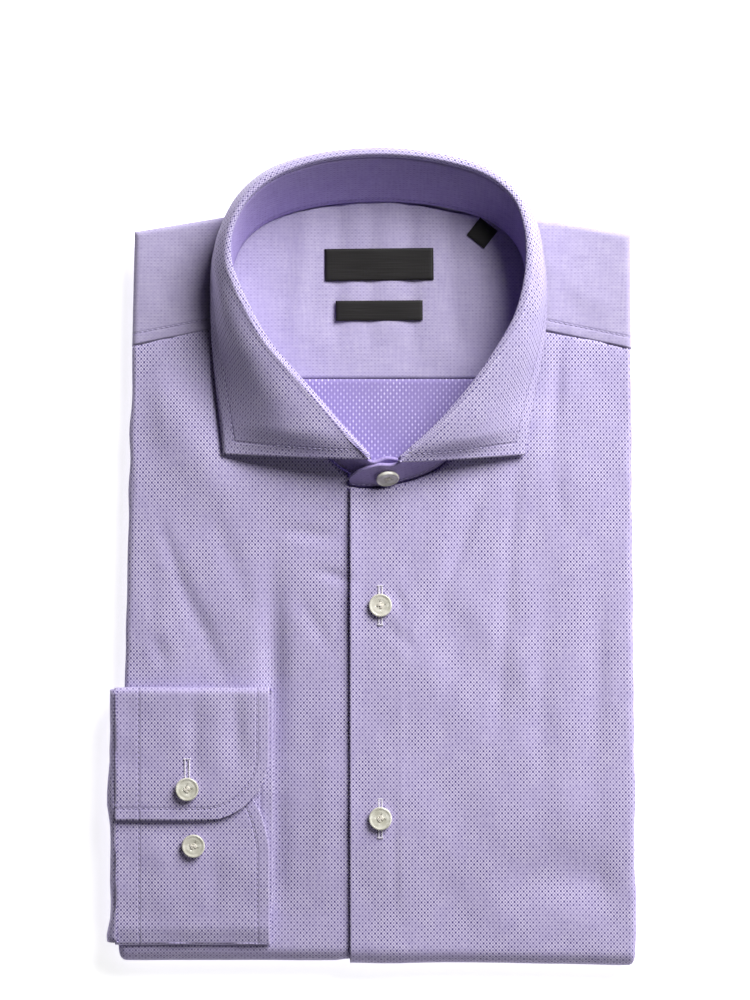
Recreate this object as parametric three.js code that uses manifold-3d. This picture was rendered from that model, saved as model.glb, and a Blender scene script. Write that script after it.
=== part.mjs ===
// A long sleeve dress shirt, folded for the shelf and lying face up on a table.
// The body is folded to a strip: both sides are turned in, and the lower half goes round the
// bottom fold and lies underneath. One sleeve comes out of the stack at the left edge and
// wraps round it, so that its buttoned cuff lies on the front. The collar stands open.
// Millimetres. X is to the viewer's right, Y towards the back of the neck, Z up from the table.
import * as THREE from "three";
import { mergeVertices } from "three/addons/utils/BufferGeometryUtils.js";
import Module from "manifold-3d";

const wasm = await Module();
wasm.setup();

// Cloth
const CLOTH = 1.2; // wall of a body panel
const SEAM_GAP = 0.3; // clearance between two pieces that are sewn or lie on each other
const LAYER = CLOTH + SEAM_GAP;
const INTERLINED = 1.6; // wall of the collar and of the cuff, which are lined and stiffened

// The folded stack at its edges
const STACK = 14; // its height
const MID = STACK / 2;
const ROLL = 5.2; // height of one rolled side fold
const ROLL_R = ROLL / 2;
const TURN_IN = 9; // how far a side fold is modelled back into the stack
const CROWN = 2.4; // how much the middle of the front stands above its edges
const TAIL_INSET = 1.5; // the lower strip is this much narrower on each side

// Outline of the folded body
const EDGE_TOP_Y = 120;
const LEFT_TOP_X = -108.5;
const LEFT_SPREAD = 0.0222; // outward for each millimetre down
const RIGHT_TOP_X = 115.2;
const RIGHT_SPREAD = 0.0083;
const SHOULDER_Y = 128; // top edge beside the collar
const SHOULDER_X = 66; // where it meets the collar
const SHOULDER_SLOPE = 0.165;
const NAPE_RISE = 9; // the middle of the top edge above SHOULDER_Y
const BEND_LEFT_FRONT_Y = -201.3; // centre of the bottom fold of the overlapping front
const BEND_RIGHT_FRONT_Y = -199.2; // and of the front under it
const TAIL_END_Y = 100; // upper end of the strip that lies underneath

// Closure
const PLACKET_X = -11.3; // free edge of the overlapping front
const UNDER_X = 14; // free edge of the front under it
const OVERLAP_SLOPE = 7; // width over which the overlapping front comes down to the other's level
const BUTTON_X = 2.4;
const BUTTON_YS = [-47.3, -143.1];
const BUTTON_D = 10.5;
const BUTTON_H = 2.6;

// Shoulder seam, yoke and neck
const SEAM_Y = 76.5; // where the front's shoulder seam comes out from under the collar
const SEAM_X = 74.3;
const SEAM_SLOPE = 0.21;
const YOKE_BACK_Y = 54.9; // seam of the inner yoke with the back, seen through the neck
const NECK_CLEAR = 2; // from the stand's middle to the cut edge of the cloth beside it
const NAPE_CLEAR = 1.2; // and this much more at the back of the neck, where the stand leans out

// Cuff and sleeve
const CUFF = { left: -117, right: -47.3, top: -84.2, bottom: -200.2, upperEnd: -143.9, underEnd: -113 };
// The under end leans in: how far at its end, and over what length of the cuff.
const UNDER_LEAN = { offset: 16, reach: 44.5 };
const CUFF_CORNER = 22; // radius of the rounded corners at the wrist edge
const CUFF_LEVELS = { lower: 0.35, under: 2.3, upper: 4.4 }; // underside of each ply above the front
const CUFF_BUTTONS = [
  { x: -84.2, y: -129.6, ply: "upper" },
  { x: -81.5, y: -155.3, ply: "under" },
];
const SLEEVE = 2.6; // the flattened sleeve, both plies
const SLEEVE_IN_X = -99; // how far it is modelled into the stack

// Labels inside the neck
const LABELS = [
  { name: "label_main", x: 1.9, y: 105.6, width: 49, height: 14.5, turn: 1.0 },
  { name: "label_fit", x: 1.9, y: 85.2, width: 39.2, height: 9.1, turn: 0.6 },
  { name: "size_tab", x: 46.5, y: 117.6, width: 10, height: 10, turn: -41 },
];
const LABEL = 1.0;

// The collar, one row for each section, from the overlapping front round the nape to the other
// front. base is the neckline at the foot of the stand, fold the top of the collar, and edge
// the free edge of its leaf; edgeZ and foldZ are heights above the table.
const COLLAR = [
  { baseX: 8, baseY: 8.6, foldX: 10.5, foldY: 19.2, foldZ: 31, edgeX: 67.5, edgeY: 20.3, edgeZ: 18.4 },
  { baseX: 20, baseY: 11.8, foldX: 21, foldY: 28.4, foldZ: 33, edgeX: 69.5, edgeY: 33, edgeZ: 18.3 },
  { baseX: 31, baseY: 18.5, foldX: 31.7, foldY: 39.2, foldZ: 34.5, edgeX: 71.8, edgeY: 45, edgeZ: 18 },
  { baseX: 44, baseY: 34, foldX: 44.5, foldY: 54.2, foldZ: 36, edgeX: 74.3, edgeY: 57.5, edgeZ: 17.6 },
  { baseX: 55, baseY: 52, foldX: 55.3, foldY: 70.3, foldZ: 37.5, edgeX: 76.3, edgeY: 70, edgeZ: 17.2 },
  { baseX: 62, baseY: 67, foldX: 61.7, foldY: 82, foldZ: 38.5, edgeX: 77.4, edgeY: 83, edgeZ: 17 },
  { baseX: 66, baseY: 80, foldX: 65.4, foldY: 94.9, foldZ: 39.5, edgeX: 77.6, edgeY: 96, edgeZ: 17 },
  { baseX: 68, baseY: 94, foldX: 66.9, foldY: 108, foldZ: 40, edgeX: 76.2, edgeY: 109, edgeZ: 16.8 },
  { baseX: 66.5, baseY: 107, foldX: 66, foldY: 121, foldZ: 40.3, edgeX: 73.5, edgeY: 122, edgeZ: 16 },
  { baseX: 61, baseY: 118, foldX: 60, foldY: 134, foldZ: 40.5, edgeX: 67, edgeY: 137, edgeZ: 9 },
  { baseX: 49, baseY: 126.5, foldX: 47, foldY: 144.5, foldZ: 40.5, edgeX: 52, edgeY: 149, edgeZ: 4 },
  { baseX: 28, baseY: 132.3, foldX: 26, foldY: 151.3, foldZ: 40.5, edgeX: 28, edgeY: 155.3, edgeZ: 2.2 },
  { baseX: 2, baseY: 134.3, foldX: 2, foldY: 153.4, foldZ: 40.5, edgeX: 2, edgeY: 157, edgeZ: 2 },
  { baseX: -24, baseY: 132.3, foldX: -22, foldY: 151.3, foldZ: 40.5, edgeX: -24, edgeY: 155.3, edgeZ: 2.2 },
  { baseX: -45, baseY: 126.5, foldX: -43, foldY: 144.5, foldZ: 40.5, edgeX: -48, edgeY: 149, edgeZ: 4 },
  { baseX: -57, baseY: 118, foldX: -57, foldY: 134, foldZ: 40.5, edgeX: -64, edgeY: 137, edgeZ: 9 },
  { baseX: -63, baseY: 107, foldX: -63.3, foldY: 121, foldZ: 40.3, edgeX: -71, edgeY: 122, edgeZ: 16 },
  { baseX: -65, baseY: 94, foldX: -63.7, foldY: 108, foldZ: 40, edgeX: -73.4, edgeY: 109, edgeZ: 16.8 },
  { baseX: -62.5, baseY: 81, foldX: -60.8, foldY: 98, foldZ: 39.5, edgeX: -74.1, edgeY: 96, edgeZ: 17 },
  { baseX: -57.5, baseY: 68, foldX: -55.3, foldY: 86, foldZ: 38.5, edgeX: -74, edgeY: 83, edgeZ: 17 },
  { baseX: -49.5, baseY: 54, foldX: -47.8, foldY: 72.5, foldZ: 37.5, edgeX: -73.4, edgeY: 70, edgeZ: 17.2 },
  { baseX: -38.5, baseY: 40.5, foldX: -37.5, foldY: 60, foldZ: 36, edgeX: -72.3, edgeY: 57.5, edgeZ: 17.6 },
  { baseX: -27, baseY: 27.5, foldX: -26, foldY: 47, foldZ: 34.5, edgeX: -70.9, edgeY: 45, edgeZ: 18 },
  { baseX: -15.5, baseY: 16.5, foldX: -13.8, foldY: 33, foldZ: 33, edgeX: -69.6, edgeY: 33, edgeZ: 18.3 },
  { baseX: -5, baseY: 10.6, foldX: -2, foldY: 20.2, foldZ: 31, edgeX: -68.6, edgeY: 20.5, edgeZ: 18.4 },
];
const COLLAR_ROLL = 2.0; // half the width of the rolled fold
const FRONT_ROLL = 1.4; // the same at the leaf's two front ends
const FRONT_BLEND = 0.05; // the share of the collar over which one becomes the other
const SEAM_BELOW_FOLD = 2.6; // the leaf is sewn to the stand this far below the fold
const LEAF_BULGE = 1.3; // how far the leaf stands out from a straight line between fold and edge
const FRONT_BULGE = 0.65; // the same at its two front ends
// The stand goes on past the leaf: its outer end to the placket edge, its inner end under that.
const STAND_ENDS = {
  outer: [
    { baseX: -11.2, baseY: 7.9, topX: -11.2, topY: 11, topZ: 20.5 },
    { baseX: -7, baseY: 7.2, topX: -6.6, topY: 14.2, topZ: 25.5 },
    { baseX: 0, baseY: 7.2, topX: 1, topY: 16.6, topZ: 28 },
  ],
  inner: [
    { baseX: 3, baseY: 10.7, topX: 5, topY: 19.8, topZ: 27.2 },
    { baseX: 9, baseY: 11.7, topX: 10.5, topY: 18.9, topZ: 24.6 },
    { baseX: 14, baseY: 13.2, topX: 14.5, topY: 17.2, topZ: 21 },
  ],
};
const STAND_BUTTON = { u: 0.5, v: 0.086 }; // its place on the stand

// Soft folds pressed into the front: middle, direction from +X, half length, half width, rise.
const FOLDS = [
  { x: -84, y: -58, turn: 118, long: 30, wide: 9, rise: -0.7 },
  { x: -98, y: -60, turn: 112, long: 26, wide: 8, rise: 0.5 },
  { x: -78, y: 28, turn: 120, long: 28, wide: 9, rise: 0.7 },
  { x: -44, y: -72, turn: 92, long: 28, wide: 9, rise: -0.6 },
  { x: 32, y: -18, turn: 62, long: 30, wide: 8, rise: 0.6 },
  { x: 74, y: -30, turn: 96, long: 46, wide: 9, rise: -0.6 },
  { x: 98, y: -110, turn: 90, long: 60, wide: 8, rise: -0.6 },
  { x: 84, y: -168, turn: 35, long: 34, wide: 14, rise: -0.6 },
  { x: 52, y: -60, turn: 128, long: 40, wide: 8, rise: 0.5 },
  { x: 96, y: 92, turn: 140, long: 20, wide: 6, rise: 0.6 },
  { x: -92, y: 96, turn: 40, long: 20, wide: 7, rise: -0.6 },
];

// Colours
const LAVENDER = { color: 0xb9aedb, roughness: 0.85, metalness: 0 };
const LAVENDER_REVERSE = { color: 0xa797d6, roughness: 0.85, metalness: 0 };
const BLACK_SATIN = { color: 0x1c1a1b, roughness: 0.5, metalness: 0 };
const PEARL = { color: 0xe2ddd0, roughness: 0.3, metalness: 0 };

const lerp = THREE.MathUtils.lerp;
const smooth = (value, from, to) => {
  const share = THREE.MathUtils.clamp((value - from) / (to - from), 0, 1);
  return share * share * (3 - 2 * share);
};
const steps = (from, to, count) => Array.from({ length: count + 1 }, (_, i) => lerp(from, to, i / count));

// Outline and height of the folded body

const leftEdge = (y) => LEFT_TOP_X - (EDGE_TOP_Y - y) * LEFT_SPREAD;
const rightEdge = (y) => RIGHT_TOP_X + (EDGE_TOP_Y - y) * RIGHT_SPREAD;

function topEdge(x) {
  const beyond = Math.abs(x) - SHOULDER_X;
  if (beyond > 0) return SHOULDER_Y - beyond * SHOULDER_SLOPE;
  return SHOULDER_Y + NAPE_RISE * smooth(-beyond, 0, SHOULDER_X);
}

const shoulderSeam = (x) => SEAM_Y - (Math.abs(x) - SEAM_X) * SEAM_SLOPE;

// How far a point is from the middle of the body's width, 0 to 1.
function fromMiddle(x, y) {
  const half = (rightEdge(y) - leftEdge(y)) / 2;
  const middle = (rightEdge(y) + leftEdge(y)) / 2;
  return Math.min(1, Math.abs(x - middle) / half);
}

function crown(x, y) {
  const along = smooth(y, BEND_RIGHT_FRONT_Y, -130) * (1 - smooth(y, 10, 62));
  return CROWN * (1 - fromMiddle(x, y) ** 3) * along;
}

function folds(x, y) {
  let height = 0;
  for (const fold of FOLDS) {
    const angle = THREE.MathUtils.degToRad(fold.turn);
    const dx = x - fold.x;
    const dy = y - fold.y;
    const lengthwise = (dx * Math.cos(angle) + dy * Math.sin(angle)) / fold.long;
    const crosswise = (dy * Math.cos(angle) - dx * Math.sin(angle)) / fold.wide;
    height += fold.rise * Math.exp(-(lengthwise ** 2 + crosswise ** 2));
  }
  const toEdge = (1 - fromMiddle(x, y)) * 112;
  return height * smooth(toEdge, 2, 16) * smooth(y, BEND_RIGHT_FRONT_Y, BEND_RIGHT_FRONT_Y + 30);
}

// Rise of the front's outer face above its edges, and the height of that face.
const rise = (x, y) => crown(x, y) + folds(x, y);
const topHeight = (x, y) => STACK + rise(x, y);

// The same for what lies under the fronts: it follows the hollows, and keeps clear of them.
function underHeight(x, y) {
  const clear = 0.35 * (1 - smooth(y, 0, 40));
  return STACK + crown(x, y) + Math.min(0, 1.4 * folds(x, y)) - clear;
}

// Solids

function geometryOf(points, faces) {
  const flat = new Float32Array(points.flatMap((p) => [p.x, p.y, p.z]));
  let volume = 0;
  for (const [a, b, c] of faces) volume += points[a].dot(points[b].clone().cross(points[c]));
  const turned = volume < 0 ? faces.map(([a, b, c]) => [a, c, b]) : faces;
  const geometry = new THREE.BufferGeometry();
  geometry.setAttribute("position", new THREE.BufferAttribute(flat, 3));
  geometry.setIndex(turned.flat());
  geometry.computeVertexNormals();
  return geometry;
}

// A closed wall between two grids of points, given as rows.
function wallBetween(outer, inner) {
  const rows = outer.length;
  const columns = outer[0].length;
  const points = [...outer.flat(), ...inner.flat()];
  const at = (side, row, column) => side * rows * columns + row * columns + column;
  const faces = [];
  const quad = (a, b, c, d) => faces.push([a, b, c], [a, c, d]);
  for (let r = 0; r + 1 < rows; r++)
    for (let c = 0; c + 1 < columns; c++) {
      quad(at(0, r, c), at(0, r, c + 1), at(0, r + 1, c + 1), at(0, r + 1, c));
      quad(at(1, r, c), at(1, r + 1, c), at(1, r + 1, c + 1), at(1, r, c + 1));
    }
  for (let c = 0; c + 1 < columns; c++) {
    quad(at(0, 0, c), at(1, 0, c), at(1, 0, c + 1), at(0, 0, c + 1));
    quad(at(0, rows - 1, c), at(0, rows - 1, c + 1), at(1, rows - 1, c + 1), at(1, rows - 1, c));
  }
  for (let r = 0; r + 1 < rows; r++) {
    quad(at(0, r, 0), at(0, r + 1, 0), at(1, r + 1, 0), at(1, r, 0));
    quad(at(0, r, columns - 1), at(1, r, columns - 1), at(1, r + 1, columns - 1), at(0, r + 1, columns - 1));
  }
  return geometryOf(points, faces);
}

// Cloth of one thickness under a surface: surface(u, v) is a point of its outer face.
function cloth(surface, us, vs, thickness) {
  const reach = 2e-3;
  const outer = vs.map((v) => us.map((u) => surface(u, v)));
  const inner = vs.map((v, row) =>
    us.map((u, column) => {
      const [u0, u1] = [Math.max(us[0], u - reach), Math.min(us.at(-1), u + reach)];
      const [v0, v1] = [Math.max(vs[0], v - reach), Math.min(vs.at(-1), v + reach)];
      const across = surface(u1, v).sub(surface(u0, v));
      const along = surface(u, v1).sub(surface(u, v0));
      const normal = across.cross(along).normalize();
      return outer[row][column].clone().addScaledVector(normal, -thickness);
    }),
  );
  return wallBetween(outer, inner);
}

// A flat plate under the front: its upper face is drop below the front's outer face.
function plate(left, right, low, high, drop, thickness, columns, rows) {
  const corner = (u, v) => {
    const x = lerp(left, right, u);
    return [x, lerp(low(x), high(x), v)];
  };
  const face = (lower) =>
    steps(0, 1, rows).map((v) =>
      steps(0, 1, columns).map((u) => {
        const [x, y] = corner(u, v);
        return new THREE.Vector3(x, y, underHeight(x, y) - drop - lower);
      }),
    );
  return wallBetween(face(0), face(thickness));
}

function solidOf(geometry) {
  const bare = geometry.clone();
  bare.deleteAttribute("normal");
  bare.deleteAttribute("uv");
  const merged = mergeVertices(bare, 1e-3);
  return new wasm.Manifold(
    new wasm.Mesh({
      numProp: 3,
      vertProperties: merged.attributes.position.array,
      triVerts: new Uint32Array(merged.index.array),
    }),
  );
}

// The mesh of a cut solid, without the slivers a cut can leave.
function geometryFrom(solid) {
  const bodies = solid.decompose().sort((a, b) => b.volume() - a.volume());
  const mesh = bodies[0].getMesh();
  const position = new Float32Array(mesh.numVert * 3);
  for (let i = 0; i < mesh.numVert; i++)
    position.set(mesh.vertProperties.subarray(i * mesh.numProp, i * mesh.numProp + 3), i * 3);
  const geometry = new THREE.BufferGeometry();
  geometry.setAttribute("position", new THREE.BufferAttribute(position, 3));
  geometry.setIndex([...mesh.triVerts]);
  geometry.computeVertexNormals();
  return geometry;
}

function boxBetween(x0, x1, y0, y1, z0, z1) {
  const geometry = new THREE.BoxGeometry(x1 - x0, y1 - y0, z1 - z0);
  return geometry.translate((x0 + x1) / 2, (y0 + y1) / 2, (z0 + z1) / 2);
}

// A prism over an outline of [x, y] pairs.
function prism(outline, z0, z1) {
  const shape = new THREE.Shape(outline.map(([x, y]) => new THREE.Vector2(x, y)));
  return new THREE.ExtrudeGeometry(shape, { depth: z1 - z0, bevelEnabled: false }).translate(0, 0, z0);
}

// Collar curves

function curveThrough(points) {
  return new THREE.CatmullRomCurve3(points, false, "catmullrom", 0.5);
}

const liningHeight = (x, y) => underHeight(x, y) - LAYER;
const foldCurve = curveThrough(COLLAR.map((row) => new THREE.Vector3(row.foldX, row.foldY, row.foldZ)));
const baseCurve = curveThrough(COLLAR.map((row) => new THREE.Vector3(row.baseX, row.baseY, 0)));
const edgeCurve = curveThrough(COLLAR.map((row) => new THREE.Vector3(row.edgeX, row.edgeY, row.edgeZ)));

// Sets a point of the stand's inner face just above the lining; where the stand leans out, its
// outer face is lower and it is set higher.
function onLining(foot) {
  foot.z = liningHeight(foot.x, foot.y) + SEAM_GAP + 0.1 + smooth(foot.y, 95, 120);
  return foot;
}

const standFoot = (t) => onLining(baseCurve.getPoint(t));

// Directions at a section of the collar: up along the stand, and out from the ring.
function collarFrame(t) {
  const fold = foldCurve.getPoint(t);
  const up = fold.clone().sub(standFoot(t)).normalize();
  const along = foldCurve.getPoint(Math.min(1, t + 0.01)).sub(foldCurve.getPoint(Math.max(0, t - 0.01)));
  return { fold, up, out: along.cross(up).normalize() };
}

// The cut edge of the cloth round the foot of the stand.
function neckOutline() {
  const middle = new THREE.Vector2(2, 85);
  return steps(0, 1, 60).map((t) => {
    const foot = baseCurve.getPoint(t);
    const ahead = baseCurve.getPoint(Math.min(1, t + 0.005)).sub(baseCurve.getPoint(Math.max(0, t - 0.005)));
    const out = new THREE.Vector2(ahead.y, -ahead.x).normalize();
    if (out.dot(new THREE.Vector2(foot.x, foot.y).sub(middle)) < 0) out.negate();
    const clear = NECK_CLEAR + NAPE_CLEAR * smooth(foot.y, 108, 122);
    return [foot.x + out.x * clear, foot.y + out.y * clear];
  });
}

// The front end of the neckline, round the foot of the stand's two ends.
const NECK_FRONT = [
  [-12.4, 10],
  [-12.4, 6.2],
  [-7, 5.3],
  [0, 5.1],
  [6, 5.6],
];

function neckHole(z0, z1) {
  const ring = neckOutline();
  return solidOf(prism([...ring, ...NECK_FRONT], z0, z1));
}

// Nothing of the overlapping front is left above its end at the neck, up to this point.
const LAP_END = { x: 8.5, y: 7.8 };

// Fronts: u runs from the free edge (0) over the side (1 to 2) and back into the stack (3);
// v from the shoulder seam (0) round the bottom fold (1 to 2) to the end underneath (3).
function frontSurface(side) {
  const sign = side === "left" ? 1 : -1; // the wearer's left front is on the viewer's right
  const edge = side === "left" ? rightEdge : leftEdge;
  const freeX = side === "left" ? PLACKET_X : UNDER_X;
  const bendY = side === "left" ? BEND_LEFT_FRONT_Y : BEND_RIGHT_FRONT_Y;
  const layered = (x, turned) => {
    const facing = (1 + Math.cos(turned)) / 2;
    if (side === "left") return LAYER * facing * (1 - smooth(x, UNDER_X, UNDER_X + OVERLAP_SLOPE));
    return -LAYER * (1 - facing) * smooth(x, PLACKET_X - OVERLAP_SLOPE, PLACKET_X - 1);
  };
  return (u, v) => {
    const turned = Math.PI * THREE.MathUtils.clamp(v - 1, 0, 1);
    const facing = (1 + Math.cos(turned)) / 2;
    const rough = v < 1 ? lerp(SEAM_Y, bendY, v) : v < 2 ? bendY : lerp(bendY, TAIL_END_Y, v - 2);
    const edgeX = edge(rough) - sign * TAIL_INSET * (1 - facing);
    const round = Math.PI * THREE.MathUtils.clamp(u - 1, 0, 1);
    const inward = Math.max(0, u - 2) * TURN_IN;
    const x =
      u <= 1
        ? lerp(freeX, edgeX - sign * ROLL_R, u)
        : edgeX - sign * ROLL_R * (1 - Math.sin(round)) - sign * inward;
    const y = v < 1 ? lerp(shoulderSeam(x) - SEAM_GAP, bendY, v) : rough;
    let height = MID - ROLL_R + ROLL_R * Math.cos(round);
    if (u <= 1) height += rise(x, y) * (v < 1 ? 1 : facing) + layered(x, turned);
    return new THREE.Vector3(x, y - height * Math.sin(turned), MID + height * Math.cos(turned));
  };
}

function front(side) {
  const flat = [...steps(0, 0.22, 4), ...steps(0.22, 1, 8).slice(1)];
  const us = [...flat, ...steps(1, 2, 5).slice(1), 3];
  const vs = [...steps(0, 1, 15), ...steps(1, 2, 7).slice(1), ...steps(2, 3, 2).slice(1)];
  const inward = side === "left" ? -CLOTH : CLOTH; // the two fronts are laid out mirrored
  const sheet = solidOf(cloth(frontSurface(side), us, vs, inward));
  const beyondNeck = solidOf(boxBetween(PLACKET_X - 1, LAP_END.y, LAP_END.x, SEAM_Y + 30, MID, STACK + 20));
  return geometryFrom(sheet.subtract(neckHole(MID, STACK + 20)).subtract(beyondNeck));
}

// A closed slab with rounded edges under the front's outer face, shrunk by inset all round.
function shoulderSlab(inset) {
  const radius = ROLL_R - inset;
  const low = 30;
  const rounded = steps(0, 1, 4).map((s) => (1 - Math.cos((s * Math.PI) / 2)) * radius);
  const halfSpan = (y) => [leftEdge(y) + inset, rightEdge(y) - inset];
  const xs = (y) => {
    const [left, right] = halfSpan(y);
    return [
      ...rounded.map((d) => left + d),
      ...steps(left + radius, right - radius, 16).slice(1, -1),
      ...rounded.toReversed().map((d) => right - d),
    ];
  };
  const distances = [...rounded.map((d) => -d), ...steps(-radius, -60, 5).slice(1)];
  const sheet = (sign) =>
    distances.map((distance) =>
      xs(EDGE_TOP_Y).map((x0, column, all) => {
        const top = topEdge(x0) - inset;
        const y = distance === distances.at(-1) ? low : top + distance;
        const [left, right] = halfSpan(Math.min(y, EDGE_TOP_Y));
        const x = xs(Math.min(y, EDGE_TOP_Y))[column];
        const edgeGap = Math.min(x - left, right - x, -distance);
        const depth = Math.min(1, Math.max(0, 1 - edgeGap / radius));
        const half = radius * Math.sqrt(Math.max(0, 1 - depth * depth));
        const raised = sign > 0 ? rise(x, y) * smooth(edgeGap, radius, radius + 6) : 0;
        return new THREE.Vector3(x, y, STACK - ROLL_R + sign * half + raised);
      }),
    );
  return solidOf(wallBetween(sheet(1), sheet(-1)));
}

function yoke() {
  const belowSeam = [
    [-140, 20],
    [140, 20],
    [140, shoulderSeam(140)],
    [SEAM_X - 20, shoulderSeam(SEAM_X - 20)],
    [20 - SEAM_X, shoulderSeam(SEAM_X - 20)],
    [-140, shoulderSeam(140)],
  ];
  return geometryFrom(
    shoulderSlab(0)
      .subtract(shoulderSlab(CLOTH))
      .subtract(solidOf(prism(belowSeam, 0, STACK + 20)))
      .subtract(neckHole(STACK - ROLL_R, STACK + 20)),
  );
}

function yokeLining() {
  const low = () => YOKE_BACK_Y;
  const high = (x) => topEdge(x) - CLOTH - SEAM_GAP - 0.9;
  return plate(-100, 104, low, high, LAYER, CLOTH, 20, 6);
}

function back() {
  const low = () => BEND_RIGHT_FRONT_Y + 2;
  const high = () => YOKE_BACK_Y - SEAM_GAP;
  return plate(-103, 106, low, high, LAYER, CLOTH, 14, 14);
}

// The hidden layers: turned-in sides, the other sleeve and the inner plies of the tail.

// One leaf of the stack with rounded long edges, between two heights.
function stackLeaf(y0, y1, rows, insetLeft, insetRight, low, high) {
  const columns = 16;
  const section = (y) => {
    const left = leftEdge(y) + insetLeft;
    const right = rightEdge(y) - insetRight;
    const upper = [];
    const lower = [];
    const xs = steps(0, 1, columns).map((s) => lerp(left, right, (1 - Math.cos(Math.PI * s)) / 2));
    for (const x of xs) {
      const [z0, z1] = [low(x, y), high(x, y)];
      const radius = Math.min(1.4, (z1 - z0) / 2);
      const near = Math.min(1, Math.min(x - left, right - x) / radius);
      const cut = radius * (1 - Math.sqrt(Math.max(0, 1 - (1 - near) ** 2)));
      upper.push(new THREE.Vector3(x, y, z1 - cut * 0.98));
      lower.push(new THREE.Vector3(x, y, z0 + cut * 0.98));
    }
    return { upper, lower };
  };
  const sections = steps(y0, y1, rows).map(section);
  return solidOf(
    wallBetween(
      sections.map((s) => s.upper),
      sections.map((s) => s.lower),
    ),
  );
}

function hiddenLayers() {
  const shelf = TAIL_INSET + ROLL_R + TURN_IN + 1; // the leaves are joined inside the side folds
  const bendTop = BEND_RIGHT_FRONT_Y + 1;
  const underSeam = shoulderSeam(leftEdge(60)) - 1.2;
  const napeStart = EDGE_TOP_Y - 4;
  const flat = (z) => () => z;
  const underFronts = (x, y) => underHeight(x, y) - 2 * LAYER - 0.6;
  const core = stackLeaf(bendTop, underSeam, 14, shelf, shelf, flat(2), underFronts);
  const sleeves = stackLeaf(bendTop, napeStart, 6, 0.7, 0.7, flat(MID + 0.1), flat(STACK - ROLL - SEAM_GAP));
  const sides = stackLeaf(bendTop, napeStart - 3, 6, 2.4, 2.1, flat(ROLL + SEAM_GAP), flat(MID + 0.4));
  const tail = stackLeaf(
    bendTop,
    TAIL_END_Y - 3,
    6,
    LAYER + TAIL_INSET,
    LAYER + TAIL_INSET,
    flat(LAYER),
    flat(ROLL - LAYER),
  );
  const spine = stackLeaf(bendTop, TAIL_END_Y - 6, 4, shelf, shelf, flat(ROLL - LAYER - 0.5), flat(ROLL + 1));
  const bend = solidOf(
    new THREE.CylinderGeometry(MID - 2 * LAYER - 0.1, MID - 2 * LAYER - 0.1, 196, 16)
      .rotateZ(Math.PI / 2)
      .translate(1, BEND_RIGHT_FRONT_Y, MID),
  );
  const sleeveSlot = solidOf(
    boxBetween(-140, SLEEVE_IN_X + 0.8, CUFF.bottom - 1.5, CUFF.top + 1.5, ROLL + 0.2, STACK - ROLL - 0.2),
  );
  const closure = solidOf(
    boxBetween(PLACKET_X - OVERLAP_SLOPE - 10, UNDER_X + 0.5, -240, 140, 0, 2 * LAYER),
  );
  return geometryFrom(
    core.add(sleeves).add(sides).add(tail).add(spine).add(bend).subtract(sleeveSlot).subtract(closure),
  );
}

// Collar

function leafSection(t) {
  const { fold, up, out } = collarFrame(t);
  const edge = edgeCurve.getPoint(t);
  const away = smooth(Math.min(t, 1 - t), 0, FRONT_BLEND);
  const roll = lerp(FRONT_ROLL, COLLAR_ROLL, away);
  const bulge = lerp(FRONT_BULGE, LEAF_BULGE, away);
  const sewn = fold.clone().addScaledVector(up, -SEAM_BELOW_FOLD);
  const over = fold
    .clone()
    .addScaledVector(out, 2 * roll)
    .addScaledVector(up, -roll);
  const crest = fold.clone().addScaledVector(out, roll).addScaledVector(up, 0.4);
  const halfway = over.clone().lerp(edge, 0.45).addScaledVector(out, bulge);
  halfway.z += bulge;
  return curveThrough([sewn, fold, crest, over, halfway, edge]);
}

function collarLeaf() {
  const us = [...steps(0, 0.6, 6), ...steps(0.6, 1, 3).slice(1)];
  const vs = steps(0, 1, 46);
  const known = new Map();
  const section = (v) => {
    if (!known.has(v)) known.set(v, leafSection(v));
    return known.get(v);
  };
  return cloth((u, v) => section(v).getPoint(u), us, vs, INTERLINED);
}

// The stand's inner face: u from its foot to its top, v from the outer end round to the inner.
function standSurface() {
  const rows = [];
  const put = (foot, top) => rows.push({ foot, top });
  const fromRow = (row) => {
    const foot = onLining(new THREE.Vector3(row.baseX, row.baseY, 0));
    return [foot, new THREE.Vector3(row.topX, row.topY, row.topZ)];
  };
  for (const row of STAND_ENDS.outer) put(...fromRow(row));
  for (const t of steps(0, 1, 24)) {
    const { fold, up } = collarFrame(t);
    put(standFoot(t), fold.addScaledVector(up, -SEAM_BELOW_FOLD - 2 * SEAM_GAP));
  }
  for (const row of STAND_ENDS.inner) put(...fromRow(row));
  const feet = curveThrough(rows.map((row) => row.foot));
  const tops = curveThrough(rows.map((row) => row.top));
  return (u, v) => feet.getPoint(v).lerp(tops.getPoint(v), u);
}

const collarStand = () => cloth(standSurface(), steps(0, 1, 3), steps(0, 1, 60), INTERLINED);

// Lays the collar button on the stand's outer face.
function seatOnStand(mesh) {
  const surface = standSurface();
  const { u, v } = STAND_BUTTON;
  const seat = surface(u, v);
  const up = surface(u + 0.1, v).sub(seat);
  const along = surface(u, v + 0.01).sub(seat);
  const out = along.cross(up).normalize();
  mesh.position.copy(seat).addScaledVector(out, INTERLINED + SEAM_GAP);
  mesh.quaternion.setFromUnitVectors(new THREE.Vector3(0, 0, 1), out);
}

// Cuff and sleeve

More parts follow.
